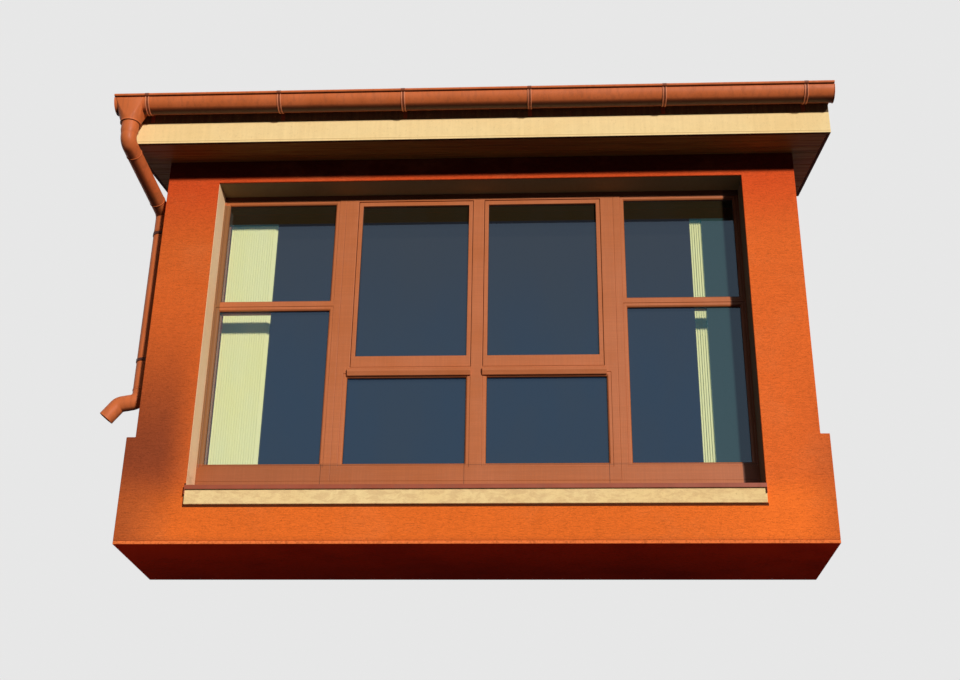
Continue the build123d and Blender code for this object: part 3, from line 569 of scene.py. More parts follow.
# Geometry Nodes
class Shaper:
    """A Geometry Nodes tree with named inputs that is being put together."""

    def __init__(self, name, **inputs):
        self.tree = bpy.data.node_groups.new(name, "GeometryNodeTree")
        sockets = self.tree.interface
        sockets.new_socket("Geometry", in_out="INPUT", socket_type="NodeSocketGeometry")
        for label, kind in {**inputs, "Material": "Material"}.items():
            sockets.new_socket(label, in_out="INPUT", socket_type="NodeSocket" + kind)
        sockets.new_socket("Geometry", in_out="OUTPUT", socket_type="NodeSocketGeometry")
        self.given = self.tree.nodes.new("NodeGroupInput").outputs

    def node(self, kind, settings=None, **values):
        """Add one node and hand back its first output."""
        values = {key.replace("_", " "): value for key, value in values.items()}
        return add_node(self.tree, kind, settings, values).outputs[0]

    def close(self, geometry):
        """End the tree with real faces that carry the finish."""
        real = self.node("GeometryNodeRealizeInstances", Geometry=geometry)
        coated = self.node("GeometryNodeSetMaterial", Geometry=real, Material=self.given["Material"])
        add_node(self.tree, "NodeGroupOutput", None, {0: coated})
        return self.tree


def row_tree():
    """Copies of the object's own shape at even steps, each a little out of line."""
    s = Shaper("Row of copies", Count="Int", Start="Vector", Step="Vector", Tilt="Vector", Seed="Int")
    tilt = s.given["Tilt"]
    line = s.node("GeometryNodeMeshLine", {"mode": "OFFSET"},
                  Count=s.given["Count"], Start_Location=s.given["Start"], Offset=s.given["Step"])
    back = add_node(s.tree, "ShaderNodeVectorMath", {"operation": "SCALE"}, {0: tilt, "Scale": -1.0})
    turn = s.node("FunctionNodeRandomValue", {"data_type": "FLOAT_VECTOR"},
                  Min=back.outputs[0], Max=tilt, Seed=s.given["Seed"])
    copies = s.node("GeometryNodeInstanceOnPoints", Points=line, Instance=s.given["Geometry"], Rotation=turn)
    return s.close(copies)


def scatter_tree():
    """Copies of the object's own shape at the corners of another object."""
    s = Shaper("Copies at places", Places="Object")
    places = add_node(s.tree, "GeometryNodeObjectInfo", None, {"Object": s.given["Places"]})
    return s.close(s.node("GeometryNodeInstanceOnPoints", Points=places.outputs["Geometry"],
                          Instance=s.given["Geometry"]))


def strip_tree():
    """A flat bar swept along the object's edges."""
    s = Shaper("Bar along edges", Width="Float", Depth="Float")
    path = s.node("GeometryNodeMeshToCurve", Mesh=s.given["Geometry"])
    bar = s.node("GeometryNodeCurvePrimitiveQuadrilateral", Width=s.given["Width"], Height=s.given["Depth"])
    return s.close(s.node("GeometryNodeCurveToMesh", Curve=path, Profile_Curve=bar, Fill_Caps=True))


def pipe_tree():
    """A round tube along the object's edges, with smooth bends at its corners."""
    s = Shaper("Pipe along a route", Radius="Float", Bend="Float", Sides="Int")
    path = s.node("GeometryNodeMeshToCurve", Mesh=s.given["Geometry"])
    bent = s.node("GeometryNodeFilletCurve", {"mode": "POLY"}, Curve=path, Count=14, Radius=s.given["Bend"])
    section = s.node("GeometryNodeCurvePrimitiveCircle",
                     Resolution=s.given["Sides"], Radius=s.given["Radius"])
    return s.close(s.node("GeometryNodeCurveToMesh", Curve=bent, Profile_Curve=section))


def placed(data, name="holder"):
    """A new object in the scene."""
    made = bpy.data.objects.new(name, data)
    bpy.context.scene.collection.objects.link(made)
    return made


def evaluated(holder):
    """An object's mesh with its modifiers applied; the object goes."""
    bpy.context.view_layer.update()
    result = bpy.data.meshes.new_from_object(holder.evaluated_get(bpy.context.evaluated_depsgraph_get()))
    bpy.data.objects.remove(holder)
    return result


def grown(mesh, tree, **values):
    """Run a tree on a mesh and keep the result as a plain mesh."""
    holder = placed(mesh)
    modifier = holder.modifiers.new("Shape", "NODES")
    modifier.node_group = tree
    for item in tree.interface.items_tree:
        if item.in_out == "INPUT" and item.name.lower() in values:
            modifier[item.identifier] = values[item.name.lower()]
    return evaluated(holder)


def at_places(mesh, places):
    """Copies of a small shape at a list of places."""
    marks = bpy.data.meshes.new("places")
    marks.from_pydata(places, [], [])
    holder = placed(marks)
    result = grown(mesh, scatter_tree(), places=holder)
    bpy.data.objects.remove(holder)
    return result


# Mesh helpers
def piece(mesh, name, material, slot, *replaced):
    """Put a finished mesh into the scene as a piece of the part."""
    mesh.name = name
    mesh.materials.clear()
    mesh.materials.append(material)
    made = placed(mesh, name)
    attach(made, ROOT)
    if replaced:
        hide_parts(*replaced)


def mesh_from(form):
    mesh = bpy.data.meshes.new("mesh")
    form.to_mesh(mesh)
    form.free()
    return mesh


def flat_faces_joined(form):
    bmesh.ops.dissolve_limit(form, angle_limit=radians(0.5), verts=form.verts, edges=form.edges)


def cad_copy(node):
    """A clean copy of a CAD node's mesh: corners merged and flat faces joined."""
    form = bmesh.new()
    form.from_mesh(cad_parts[node].data)
    bmesh.ops.remove_doubles(form, verts=form.verts, dist=0.00002)
    flat_faces_joined(form)
    return mesh_from(form)


def with_modifier(mesh, kind, **settings):
    """Apply a modifier to a mesh."""
    holder = placed(mesh)
    modifier = holder.modifiers.new(kind.title(), kind)
    for key, value in settings.items():
        setattr(modifier, key, value)
    return evaluated(holder)


def rounded(mesh, width, segments=2):
    """Round a mesh's sharp edges."""
    return with_modifier(mesh, "BEVEL", width=width, segments=segments, limit_method="ANGLE",
                         angle_limit=radians(32), use_clamp_overlap=True)


def smooth(mesh, angle=40):
    """Shade round faces smoothly and leave sharp edges sharp."""
    mesh.shade_smooth()
    mesh.set_sharp_from_angle(angle=radians(angle))
    return mesh


def merged(*meshes):
    """Several meshes put together as one, each left as it is."""
    form = bmesh.new()
    for mesh in meshes:
        form.from_mesh(mesh)
    return mesh_from(form)


def dress(node, name, material, slot, width, segments=2):
    """A CAD node with rounded edges as the piece that replaces it."""
    piece(rounded(cad_copy(node), width, segments), name, material, slot, node)


def joined_boxes(boxes):
    """One closed skin round boxes that touch, with no wall left between them."""
    cuts = [sorted({round(box[end][axis], 6) for box in boxes for end in (0, 1)}) for axis in range(3)]
    counts = [len(cut) - 1 for cut in cuts]

    def full(cell):
        if any(not 0 <= cell[axis] < counts[axis] for axis in range(3)):
            return False
        middle = [(cut[index] + cut[index + 1]) / 2 for cut, index in zip(cuts, cell)]
        return any(all(box[0][axis] < middle[axis] < box[1][axis] for axis in range(3)) for box in boxes)

    form = bmesh.new()
    corners = {}

    def corner(index):
        if index not in corners:
            corners[index] = form.verts.new([cut[step] for cut, step in zip(cuts, index)])
        return corners[index]

    cells = [(i, j, k) for i in range(counts[0]) for j in range(counts[1]) for k in range(counts[2])]
    for cell in filter(full, cells):
        for axis in range(3):
            for side in (0, 1):
                near = list(cell)
                near[axis] += 2 * side - 1
                if full(near):
                    continue
                ring = []
                for du, dv in ((0, 0), (1, 0), (1, 1), (0, 1)):
                    index = list(cell)
                    index[axis] += side
                    index[(axis + 1) % 3] += du
                    index[(axis + 2) % 3] += dv
                    ring.append(corner(tuple(index)))
                form.faces.new(ring if side else ring[::-1])
    flat_faces_joined(form)
    return form


def skin(rings, closed=False):
    """A skin over rings of points, with a cap on both ends or joined into a loop. A ring may be one point."""
    form = bmesh.new()
    loops = [[form.verts.new(point) for point in ring] for ring in rings]
    for lower, upper in zip(loops, loops[1:] + loops[:closed]):
        count = max(len(lower), len(upper))
        for s in range(count):
            t = (s + 1) % count
            corners = (lower, s), (lower, t), (upper, t), (upper, s)
            form.faces.new(list(dict.fromkeys(ring[step % len(ring)] for ring, step in corners)))
    for loop in () if closed else (loops[0], loops[-1]):
        if len(loop) > 1:
            form.faces.new(loop)
    bmesh.ops.recalc_face_normals(form, faces=form.faces)
    return mesh_from(form)


def arc(radius, start, turn, steps, centre=(0.0, 0.0)):
    """Points along an arc, with its angles in degrees."""
    angles = [radians(start + turn * s / steps) for s in range(steps + 1)]
    return [(centre[0] + radius * cos(angle), centre[1] + radius * sin(angle)) for angle in angles]


def oblong(u0, u1, v0, v1):
    return [(u0, v0), (u1, v0), (u1, v1), (u0, v1)]


def extruded(outline, x0, x1):
    """A closed bar between two places along X from an outline of (y, z) points."""
    return skin([[(x, y, z) for y, z in outline] for x in (x0, x1)])


def turned(outline, sides, closed=False):
    """A round shape about Z from an outline of (radius, height) points."""
    return skin([[(radius * cos(2 * pi * s / sides), radius * sin(2 * pi * s / sides), height)
                  for s in range(sides if radius else 1)] for radius, height in outline], closed)


def collar(outline, place, along):
    """A ring whose (radius, distance) outline is turned about a line that starts at a place."""
    ring = turned(outline, 48, closed=True)
    ring.transform(Matrix.Translation(place) @ Vector(along).to_track_quat("Z", "Y").to_matrix().to_4x4())
    return ring


def screw_head(radius, place, turn=0.0):
    """A pan-head screw at a place, which looks along -Y before it is turned about Z."""
    outline = ((1.0, 0.0), (1.0, 0.25), (0.8, 0.6), (0.3, 0.72), (0.25, 0.45), (0.0, 0.45))
    head = turned([(radius * out, radius * up) for out, up in outline], 12)
    head.transform(Matrix.Translation(place) @ Matrix.Rotation(turn, 4, "Z")
                   @ Matrix.Rotation(pi / 2, 4, "X"))
    return head


# Pieces
class OrielOperator:
    """What all operators share."""

    bl_options = {"REGISTER", "UNDO"}

    @property
    def colours(self):
        return bpy.context.scene.oriel_colours

    @property
    def sizes(self):
        return bpy.context.scene.oriel_sizes


class ORIEL_OT_walls(OrielOperator, bpy.types.Operator):
    """Rendered walls as one skin with rounded corners, and the dark underside"""

    bl_idname = "oriel.walls"
    bl_label = "Walls"

    def execute(self, context):
        nodes = ("front_pier_left", "front_pier_right", "cheek_wall_left", "cheek_wall_right",
                 "front_spandrel", "front_lintel")
        form = joined_boxes(self.boxes(above=CHEEK_TOP + 1.0))
        for vert in form.verts:
            if vert.co.z > CHEEK_TOP:
                vert.co.z = CHEEK_TOP + vert.co.y * ROOF_SLOPE
        bmesh.ops.recalc_face_normals(form, faces=form.faces)
        walls = rounded(mesh_from(form), self.sizes.wall_rounding, 3)
        orange = scratched_render("orange_render", self.colours.render, self.colours.render_top)
        piece(walls, "rendered_walls", orange, "orange_render", *nodes)
        dress("underside_board", "underside", dark_render("red_underside", self.colours.underside),
              "red_underside", 0.003)
        return {"FINISHED"}

    def boxes(self, above):
        """The boxes of the walls; those under the roof end above it."""
        boxes = []

        def add(x0, x1, y0, y1, z0, z1):
            boxes.append(((min(x0, x1), y0, z0), (max(x0, x1), y1, z1)))

        for side, sign in (("left", -1), ("right", 1)):
            for node in ("front_pier_", "cheek_wall_"):
                low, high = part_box(node + side)
                inner, outer = (high.x, low.x) if sign < 0 else (low.x, high.x)
                add(inner, sign * HALF_BAY, low.y, high.y, low.z, above)
                add(inner, outer, low.y, high.y, low.z, SHOULDER_TOP)
        low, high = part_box("front_lintel")
        add(low.x, high.x, low.y, high.y, low.z, above)
        low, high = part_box("front_spandrel")
        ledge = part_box("rendered_sill")[0].z
        frame_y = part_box("bottom_rail")[0].y
        add(low.x, high.x, low.y, frame_y, low.z, ledge)
        add(low.x, high.x, frame_y, high.y, low.z, high.z)
        # The edge of the wall's own render round the opening
        head_low, head_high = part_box("reveal_head")
        edge_y = low.y + COAT_EDGE
        for sign in (-1, 1):
            opening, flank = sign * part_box("metal_sill")[1].x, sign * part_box("reveal_sides")[1].x
            add(opening, flank, low.y, edge_y, ledge, head_high.z)
        add(head_low.x, head_high.x, low.y, edge_y, head_low.z, head_high.z)
        return boxes


class ORIEL_OT_trim(OrielOperator, bpy.types.Operator):
    """Cream render: fascias, reveals and the sill's bed"""

    bl_idname = "oriel.trim"
    bl_label = "Cream trim"

    def execute(self, context):
        cream = trim_render("cream_render", self.colours.cream)
        for node in ("fascia_front", "fascia_sides", "rendered_sill"):
            dress(node, node + "_coat", cream, "cream_render", 0.004)
        # The flanks' copy is paler and pinker as painted light on the sunlit left reveal, with painted shade
        # on the right
        # The head's copy is darkened as painted shade
        flanks = trim_render("reveal_render", (1.0, 0.67, 0.39), 1.08, 0.15)
        shaded = trim_render("shaded_render", self.colours.cream, 0.3)
        for node, coat in (("reveal_sides", flanks), ("reveal_head", shaded)):
            # The reveal starts behind the edge of the wall's own render
            mesh = cad_copy(node)
            for vertex in mesh.vertices:
                vertex.co.y = max(vertex.co.y, FRONT_Y + COAT_EDGE - 0.0002)
            piece(rounded(mesh, 0.0015, 1), node + "_coat", coat, "cream_render", node)
        # The thin drip edge low on the front fascia
        low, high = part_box("fascia_front")
        profile = [(0.0, 0.0), (-0.003, 0.001), (-0.003, 0.012), (0.0, 0.013)]
        edge = extruded([(low.y + y, low.z + z) for y, z in profile], low.x + 0.004, high.x - 0.004)
        piece(edge, "fascia_drip", cream, "cream_render")
        return {"FINISHED"}


class ORIEL_OT_soffits(OrielOperator, bpy.types.Operator):
    """Boarded soffits, laid along the eaves"""

    bl_idname = "oriel.soffits"
    bl_label = "Soffits"

    def execute(self, context):
        stain = stained_boards("dark_soffit", self.colours.soffit)
        low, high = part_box("soffit_front")
        front = self.boards(low.x, high.x, low.y, high.y)
        piece(front, "soffit_boards_front", stain, "dark_soffit", "soffit_front")
        low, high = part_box("soffit_sides")
        sides = [self.boards(x0, x1, low.y, high.y) for x0, x1 in ((low.x, -HALF_BAY), (HALF_BAY, high.x))]
        piece(merged(*sides), "soffit_boards_sides", stain, "dark_soffit", "soffit_sides")
        return {"FINISHED"}

    def boards(self, x0, x1, y0, y1):
        """Rows of boards between two depths, on the slope of the roof."""
        thickness, chamfer = 0.012, 0.0025
        count = max(1, round((y1 - y0) / self.sizes.soffit_board))
        pitch = (y1 - y0) / count
        half = (pitch - self.sizes.board_gap) / 2
        profile = [(-half, 0.0), (half, 0.0), (half, thickness - chamfer), (half - chamfer, thickness),
                   (chamfer - half, thickness), (-half, thickness - chamfer)]
        board = extruded([(out, out * ROOF_SLOPE - drop) for out, drop in profile], x0, x1)
        start = (0.0, y0 + pitch / 2, CHEEK_TOP + (y0 + pitch / 2) * ROOF_SLOPE)
        return grown(board, row_tree(), count=count, start=start, step=(0.0, pitch, pitch * ROOF_SLOPE))


class ORIEL_OT_roof(OrielOperator, bpy.types.Operator):
    """Standing-seam roof sheet, and the timber panels of roof and floor"""

    bl_idname = "oriel.roof"
    bl_label = "Roof"

    def execute(self, context):
        sheet = coated_metal("roof_metal", self.colours.metal)
        dress("roof_sheet", "roof_covering", sheet, "brown_metal", 0.0012, 1)
        wood = panel_wood("timber_panel")
        for node in ("roof_panel", "floor_panel"):
            dress(node, node + "_core", wood, "timber_panel", 0.002, 1)
        return {"FINISHED"}


class ORIEL_OT_gutter(OrielOperator, bpy.types.Operator):
    """Half-round gutter with its bead, stop ends and straps"""

    bl_idname = "oriel.gutter"
    bl_label = "Gutter"

    def execute(self, context):
        metal = coated_metal("gutter_metal", self.colours.metal, below=0.92)
        low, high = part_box("gutter")
        piece(self.trough(low.x, high.x), "gutter_trough", metal, "brown_metal", "gutter")
        piece(smooth(cad_copy("gutter_stop_ends")), "gutter_ends", metal, "brown_metal", "gutter_stop_ends")
        # The bands' darker metal is painted shade round the ribs, and the ribs' paler metal a painted
        # highlight
        bands, ribs = self.straps()
        piece(bands, "gutter_straps", coated_metal("strap_metal", (0.26, 0.062, 0.022)), "brown_metal",
              "gutter_brackets")
        piece(ribs, "strap_ribs", coated_metal("rib_metal", (0.82, 0.27, 0.12)), "brown_metal")
        return {"FINISHED"}

    def trough(self, x0, x1):
        """The half-round section whose front wall carries a rolled bead, with the hole over the outlet."""
        axis_y, axis_z = GUTTER_AXIS
        bead_z = axis_z + BEAD_RISE

        def wall(radius):
            return arc(radius, 0, -180, 40, GUTTER_AXIS) + [(axis_y - radius, bead_z)]

        shell = extruded(wall(GUTTER_RADIUS) + wall(GUTTER_RADIUS - GUTTER_WALL)[::-1], x0, x1)
        bead = extruded(arc(BEAD_RADIUS, 0, 345, 23, (BEAD_Y, bead_z)), x0, x1)
        cutter = placed(turned([(OUTLET_HOLE, -0.1), (OUTLET_HOLE, 0.0)], 32))
        cutter.location = (OUTLET_X, axis_y, axis_z)
        shell = with_modifier(shell, "BOOLEAN", operation="DIFFERENCE", object=cutter, solver="EXACT")
        bpy.data.objects.remove(cutter)
        return smooth(merged(shell, bead), 35)

    def straps(self):
        """Straps that hook over the bead and are screwed to the fascia, and their two raised edges."""
        axis_y, axis_z = GUTTER_AXIS
        low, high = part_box("gutter_brackets")
        half, play, rib_width = HALF_STRAP, 0.0002, 0.006
        seat = GUTTER_RADIUS + play
        front, face = GUTTER_RADIUS - 0.001, high.y - axis_y
        back = face - 0.004
        hook = (BEAD_Y - axis_y, BEAD_RISE)

        def band(inner, outer):
            return arc(outer, 0, -180, 28) + arc(inner, 0, -180, 28)[::-1]

        curl = (arc(BEAD_RADIUS + 0.0015, -80, -230, 16, hook)
                + arc(BEAD_RADIUS + play, -80, -230, 16, hook)[::-1])
        strap = merged(
            extruded(band(seat, seat + 0.0018), -half, half), extruded(curl, -half, half),
            rounded(extruded(oblong(back, face, low.z - axis_z, 0.0), -half, half), 0.0008, 1),
            extruded(oblong(front, face - 0.001, -0.004, 0.0), -half, half),
            *(screw_head(self.sizes.screw_radius, (0, back, z)) for z in (-0.022, -0.066)))
        ribs = merged(*(rounded(extruded(band(seat + 0.001, seat + 0.0052), x, x + rib_width), 0.001, 1)
                        for x in (-half, half - rib_width)))
        first, last = low.x + half, high.x - half
        places = [(first + share * (last - first), axis_y, axis_z) for share in STRAP_PLACES]
        return [smooth(at_places(mesh, places), 35) for mesh in (strap, ribs)]


class ORIEL_OT_downpipe(OrielOperator, bpy.types.Operator):
    """Outlet hopper, swan neck, pipe, shoe and clamps"""

    bl_idname = "oriel.downpipe"
    bl_label = "Downpipe"

    def execute(self, context):
        metal = coated_metal("pipe_metal", self.colours.metal, below=0.6)
        hopper = smooth(rounded(cad_copy("outlet_funnel"), 0.0012, 1), 28)
        piece(hopper, "outlet_hopper", metal, "brown_metal", "outlet_funnel")
        down = Vector((0, 0, -1))
        run = (CORNER_LOW - CORNER_TOP).normalized()
        mouth = (SHOE_END - CORNER_MOUTH).normalized()
        top = SLEEVE_TOP - JOINT_OUTLET.z
        lap = 0.004  # how far a length stops short of the next one's rim
        swan_neck = merged(
            self.tube(JOINT_OUTLET, CORNER_TOP, JOINT_UPPER - run * lap),
            self.tube(JOINT_UPPER, JOINT_LOWER - run * lap),
            self.tube(JOINT_LOWER, CORNER_LOW, JOINT_OFFSET - down * lap),
            collar([(0.0492, -0.002), (0.0502, 0.0), (SLEEVE_RADIUS, 0.03), (SLEEVE_RADIUS, top - 0.0015),
                    (SLEEVE_RADIUS - 0.0015, top), (0.0492, top)], JOINT_OUTLET, (0, 0, 1)),
            self.neck(JOINT_UPPER, run), self.rim(JOINT_UPPER, run), self.neck(JOINT_LOWER, run),
            self.rim(JOINT_LOWER, run), self.neck(JOINT_OFFSET, down))
        piece(smooth(swan_neck), "swan_neck_pipes", metal, "brown_metal", "swan_neck")
        lengths = merged(
            self.tube(JOINT_OFFSET, JOINT_SHOE - down * lap),
            self.tube(JOINT_SHOE, CORNER_SHOE, CORNER_MOUTH, SHOE_END),
            self.rim(JOINT_OFFSET, down), self.neck(JOINT_SHOE, down), self.rim(JOINT_SHOE, down),
            collar([(0.0475, 0.0), (0.0502, -0.001), (0.0508, -0.003), (0.0502, -0.005), (0.0475, -0.0055)],
                   SHOE_END - mouth * 0.0002, mouth))
        piece(smooth(lengths), "downpipe_lengths", metal, "brown_metal", "downpipe")
        piece(self.clamps(), "clamp_bands", coated_metal("clamp_metal", self.colours.clamps), "brown_metal",
              "pipe_clamps")
        return {"FINISHED"}

    def tube(self, *route):
        """One length of pipe along its route, with its wall."""
        path = bpy.data.meshes.new("route")
        path.from_pydata(route, [(index, index + 1) for index in range(len(route) - 1)], [])
        form = bmesh.new()
        form.from_mesh(grown(path, pipe_tree(), radius=PIPE_RADIUS, bend=BEND_RADIUS, sides=48))
        bmesh.ops.remove_doubles(form, verts=form.verts, dist=0.00002)
        bmesh.ops.recalc_face_normals(form, faces=form.faces)
        return with_modifier(mesh_from(form), "SOLIDIFY", thickness=PIPE_WALL, offset=-1.0)

    def rim(self, place, along):
        """The rolled rim of the length that starts here."""
        inside, lip = PIPE_RADIUS - 0.002, PIPE_RADIUS + 0.0025
        return collar([(inside, 0.0003), (lip - 0.0012, 0.0003), (lip, 0.002), (lip, 0.0068),
                       (lip - 0.0012, 0.0083), (inside, 0.0092)], place, along)

    def neck(self, place, along):
        """The end of the length above, which closes in to stand in the rim."""
        inside = PIPE_RADIUS - 0.0035
        return collar([(PIPE_RADIUS, -0.0045), (PIPE_RADIUS, -0.0038), (inside, -0.0004), (inside, 0.045),
                       (inside - PIPE_WALL, 0.045), (inside - PIPE_WALL, -0.0045)], place, along)

    def clamps(self):
        """Two half bands with screwed lugs on each pipe hook."""
        low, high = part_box("pipe_clamps")
        half = CLAMP_WIDTH / 2
        inner, outer = PIPE_RADIUS + 0.0002, PIPE_RADIUS + 0.0042
        root = outer - 0.001  # where lugs and stem are sunk into the band
        lug_half = 0.0035
        parts = []
        for z in (high.z - half, low.z + half):
            centre = Vector((CORNER_SHOE.x, CORNER_SHOE.y, z))
            parts.append(collar([(inner, -half), (root, -half), (outer, 0.001 - half), (outer, half - 0.001),
                                 (root, half), (inner, half)], centre, (0, 0, 1)))
            for sign in (-1, 1):
                lug = extruded(oblong(-lug_half, lug_half, -0.009, 0.009), 0.0, 0.0085)
                lug.transform(Matrix.Translation(centre) @ Matrix.Rotation(radians(90 * sign), 4, "Z")
                              @ Matrix.Translation((root, 0, 0)))
                place = centre + Vector((-lug_half, sign * (outer + 0.0035), 0))
                parts += [rounded(lug, 0.0008, 1), screw_head(0.0042, place, radians(-90))]
            stem = turned([(0.006, 0.0), (0.006, high.x - centre.x - root)], 16)
            stem.transform(Matrix.Translation(centre + Vector((root, 0, 0)))
                           @ Matrix.Rotation(pi / 2, 4, "Y"))
            parts.append(stem)
        return smooth(merged(*parts), 35)


class ORIEL_OT_frames(OrielOperator, bpy.types.Operator):
    """Window frames, sashes, beads, weather bars and the seals round the panes"""

    bl_idname = "oriel.frames"
    bl_label = "Frames"

    def execute(self, context):
        paint = painted_wood("frame_paint", self.colours.frames)
        width = self.sizes.frame_rounding
        for node in ("window_frame_left", "window_frame_middle", "window_frame_right", "bottom_rail",
                     "sash_left", "sash_right", "weather_bars"):
            dress(node, node + "_painted", paint, "brown_frame", width)
        dress("glazing_beads", "beads_painted", paint, "brown_frame", width * 0.6)
        piece(self.seals(), "pane_seals", dark_rubber("seal_rubber"), "brown_frame")
        return {"FINISHED"}

    def seals(self):
        """A dark bar round each pane, against the bead."""
        width, depth = self.sizes.gasket, 0.0024
        inset = width / 2 - 0.001
        form = bmesh.new()
        for x0, x1, z0, z1, y in self.lights():
            ring = [form.verts.new((x, y - depth / 2, z))
                    for x, z in oblong(x0 + inset, x1 - inset, z0 + inset, z1 - inset)]
            for index in range(4):
                form.edges.new((ring[index], ring[(index + 1) % 4]))
        return grown(mesh_from(form), strip_tree(), width=width, depth=depth)

    def lights(self):
        """Visible outline and face depth of every pane: x0, x1, z0, z1, y."""
        side_end = pane_high.x - PANE_COVER
        side_start = side_end - SIDE_LIGHT_WIDTH
        split = LIGHT_FOOT + LOW_SIDE_HEIGHT
        sash_low, sash_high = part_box("sash_glass")
        for sign in (-1, 1):
            for x0, x1, z0, z1, y in (
                (side_start, side_end, LIGHT_FOOT, split, pane_low.y),
                (side_start, side_end, split + SIDE_TRANSOM, LIGHT_HEAD, pane_low.y),
                (HALF_MULLION, LOW_MIDDLE_END, LIGHT_FOOT, LIGHT_FOOT + LOW_MIDDLE_HEIGHT, pane_low.y),
                (SASH_LIGHT_START, sash_high.x - SASH_COVER, sash_low.z + SASH_COVER,
                 sash_high.z - SASH_COVER, sash_low.y),
            ):
                yield *sorted((sign * x0, sign * x1)), z0, z1, y


class ORIEL_OT_glass(OrielOperator, bpy.types.Operator):
    """Panes of the fixed lights and sashes"""

    bl_idname = "oriel.glass"
    bl_label = "Glass"

    def execute(self, context):
        glass = window_glass("window_glass", self.colours.glass)
        for kind in ("fixed", "sash"):
            dress(kind + "_glass", kind + "_panes", glass, "window_glass", 0.001, 1)
        return {"FINISHED"}


class ORIEL_OT_sills(OrielOperator, bpy.types.Operator):
    """Metal sill outside and board inside"""

    bl_idname = "oriel.sills"
    bl_label = "Sills"

    def execute(self, context):
        metal = coated_metal("sill_metal", self.colours.sill, (0.2, 0.09, 0.05))
        dress("metal_sill", "sill_sheet", metal, "sill_metal", 0.001, 1)
        white = plaster("board_paint", (0.8, 0.77, 0.68))
        dress("window_board", "window_board_painted", white, "white_plaster", 0.003)
        return {"FINISHED"}


class ORIEL_OT_blinds(OrielOperator, bpy.types.Operator):
    """Drawn-back blinds as stacks of slats under their track"""

    bl_idname = "oriel.blinds"
    bl_label = "Blinds"

    def execute(self, context):
        low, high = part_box("blinds")
        ends = (low.x, LEFT_STACK_END), (RIGHT_STACK_END, high.x)
        stacks = [self.stack(x0, x1, low, high) for x0, x1 in ends]
        piece(merged(*stacks), "blind_stacks", slat_fabric("green_blind", self.colours.blind), "green_blind",
              "blinds")
        dress("blind_track", "track_rail", brushed_aluminium("track_aluminium"), "track_aluminium", 0.0015)
        return {"FINISHED"}

    def stack(self, x0, x1, low, high):
        """Slats side by side, each bent into a shallow curve."""
        edge, lean, bow, thick, steps = 0.021, 0.019, 0.003, 0.0005, 6
        run = x1 - x0 - 2 * edge
        count = max(2, round(run / self.sizes.slat_pitch) + 1)
        depth = (high.y - low.y) / 2 - 0.0015
        curve = []
        for s in range(steps + 1):
            share = -1 + 2 * s / steps
            rise = bow * (1 - share * share)
            curve.append((share * lean + rise, share * depth - rise))
        outline = [(x - thick, y) for x, y in curve] + [(x + thick, y) for x, y in curve[::-1]]
        slat = skin([[(x, y, z) for x, y in outline] for z in (low.z, high.z)])
        stack = grown(slat, row_tree(), count=count, start=(x0 + edge, (low.y + high.y) / 2, 0.0),
                      step=(run / (count - 1), 0.0, 0.0), tilt=(0.0, 0.0, 0.04), seed=self.sizes.seed)
        return smooth(stack, 30)


class ORIEL_OT_inside(OrielOperator, bpy.types.Operator):
    """Floor, ceiling and downlights"""

    bl_idname = "oriel.inside"
    bl_label = "Inside"

    def execute(self, context):
        dress("floor_finish", "floor_boards", oak_boards("oak_floor"), "oak_floor", 0.001, 1)
        white = plaster("ceiling_paint", (0.82, 0.78, 0.68))
        dress("ceiling_board", "ceiling", white, "white_plaster", 0.001, 1)
        piece(smooth(cad_copy("downlights")), "downlight_cans", brushed_aluminium("downlight_metal"),
              "track_aluminium", "downlights")
        return {"FINISHED"}


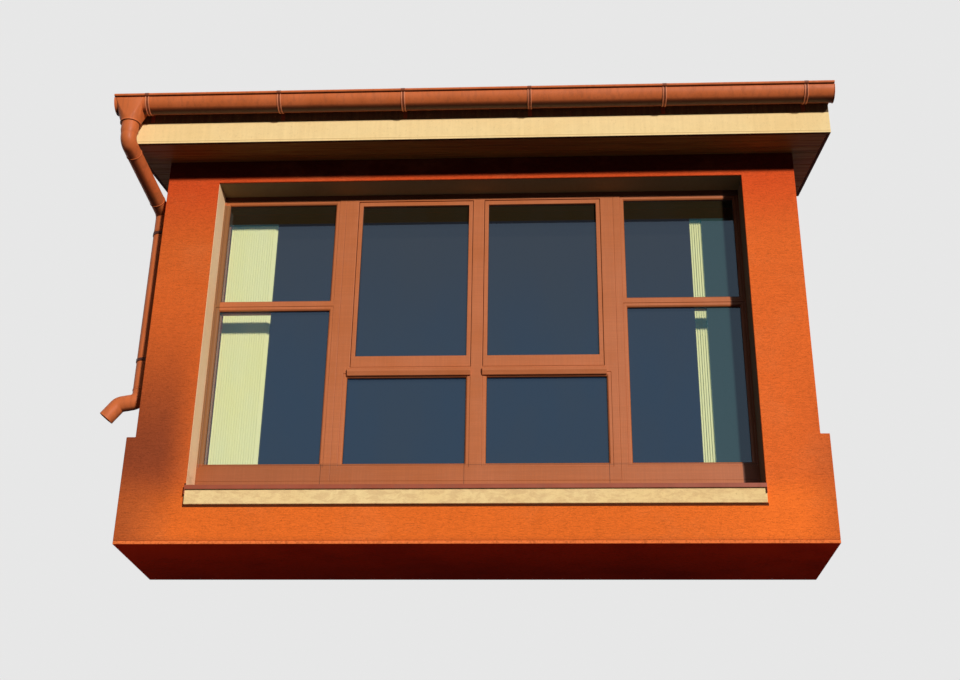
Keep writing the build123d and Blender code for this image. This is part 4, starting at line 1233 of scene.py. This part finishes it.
class ORIEL_OT_stage(OrielOperator, bpy.types.Operator):
    """Pale floor, soft light and the camera"""

    bl_idname = "oriel.stage"
    bl_label = "Stage"

    def execute(self, context):
        scene = context.scene
        stage = scene.oriel_stage
        self.floor()
        scene.world = self.world(stage.fill, stage.bounce, stage.sky)
        sun = bpy.data.lights.new("key", "SUN")
        sun.energy = stage.sun_strength
        sun.angle = stage.sun_angle
        key = placed(sun, "key")
        key.rotation_mode = "QUATERNION"
        key.rotation_quaternion = Vector((-0.50, 1.0, -KEY_SLOPE)).to_track_quat("-Z", "Y")
        camera = bpy.data.cameras.new("camera")
        camera.sensor_width = 36.0
        camera.lens = stage.lens
        camera.clip_end = 200.0
        turn = (Matrix.Rotation(EYE_YAW, 3, "Z") @ Matrix.Rotation(EYE_PITCH, 3, "X")
                @ Matrix.Rotation(EYE_ROLL, 3, "Y"))
        right, ahead, up = turn.col
        pose = Matrix((right, up, -ahead)).transposed().to_4x4()
        pose.translation = EYE
        scene.camera = placed(camera, "camera")
        scene.camera.matrix_world = pose
        scene.view_settings.view_transform = "Standard"
        return {"FINISHED"}

    def floor(self):
        form = bmesh.new()
        bmesh.ops.create_grid(form, x_segments=1, y_segments=1, size=40.0)
        mesh = mesh_from(form)
        mesh.materials.append(pale_floor("pale_floor"))
        mesh.transform(Matrix.Translation((0, 0, -4.0)))
        placed(mesh, "floor")

    def world(self, fill, bounce, sky):
        """Low light from the front and below, more from above and behind, white where it is seen."""
        world = bpy.data.worlds.new("studio")
        f = Finish(world)
        direction = f.axes(f.node("ShaderNodeTexCoord", output=0))
        rays = add_node(f.tree, "ShaderNodeLightPath").outputs
        camera, glossy, through = (
            Tone(f, rays[name]) for name in ("Is Camera Ray", "Is Glossy Ray", "Is Transmission Ray"))
        seen = camera.largest(glossy).largest(through)
        open_sky = direction[2].between(0.7, 1.0).largest(direction[1].between(0.2, 0.85))
        light = open_sky * (sky - fill) + direction[2].between(-0.3, -0.9) * (bounce - fill) + fill
        background = f.node("ShaderNodeBackground", None, {"Strength": seen + light - seen * light})
        f.close("ShaderNodeOutputWorld", background)
        return world


OPERATORS = (
    ORIEL_OT_walls, ORIEL_OT_trim, ORIEL_OT_soffits, ORIEL_OT_roof, ORIEL_OT_gutter, ORIEL_OT_downpipe,
    ORIEL_OT_frames, ORIEL_OT_glass, ORIEL_OT_sills, ORIEL_OT_blinds, ORIEL_OT_inside, ORIEL_OT_stage,
)
SETTINGS = {"oriel_colours": OrielColours, "oriel_sizes": OrielSizes, "oriel_stage": OrielStage}


class ORIEL_PT_panel(bpy.types.Panel):
    """Sidebar panel with the settings and one button for each group of pieces"""

    bl_idname = "ORIEL_PT_panel"
    bl_label = "Oriel window"
    bl_space_type = "VIEW_3D"
    bl_region_type = "UI"
    bl_category = "Oriel"

    def draw(self, context):
        for setting, group in SETTINGS.items():
            column = self.layout.column(align=True)
            for name in group.__annotations__:
                column.prop(getattr(context.scene, setting), name)
        column = self.layout.column(align=True)
        for button in OPERATORS:
            column.operator(button.bl_idname)


CLASSES = (*SETTINGS.values(), *OPERATORS, ORIEL_PT_panel)


def register():
    for item in CLASSES:
        bpy.utils.register_class(item)
    for name, group in SETTINGS.items():
        setattr(bpy.types.Scene, name, PointerProperty(type=group))


def unregister():
    for name in SETTINGS:
        delattr(bpy.types.Scene, name)
    for item in reversed(CLASSES):
        bpy.utils.unregister_class(item)


def main():
    """Dress the frame."""
    register()
    for item in OPERATORS:
        getattr(bpy.ops.oriel, item.bl_idname.split(".")[1])()


if __name__ == "__main__":
    main()
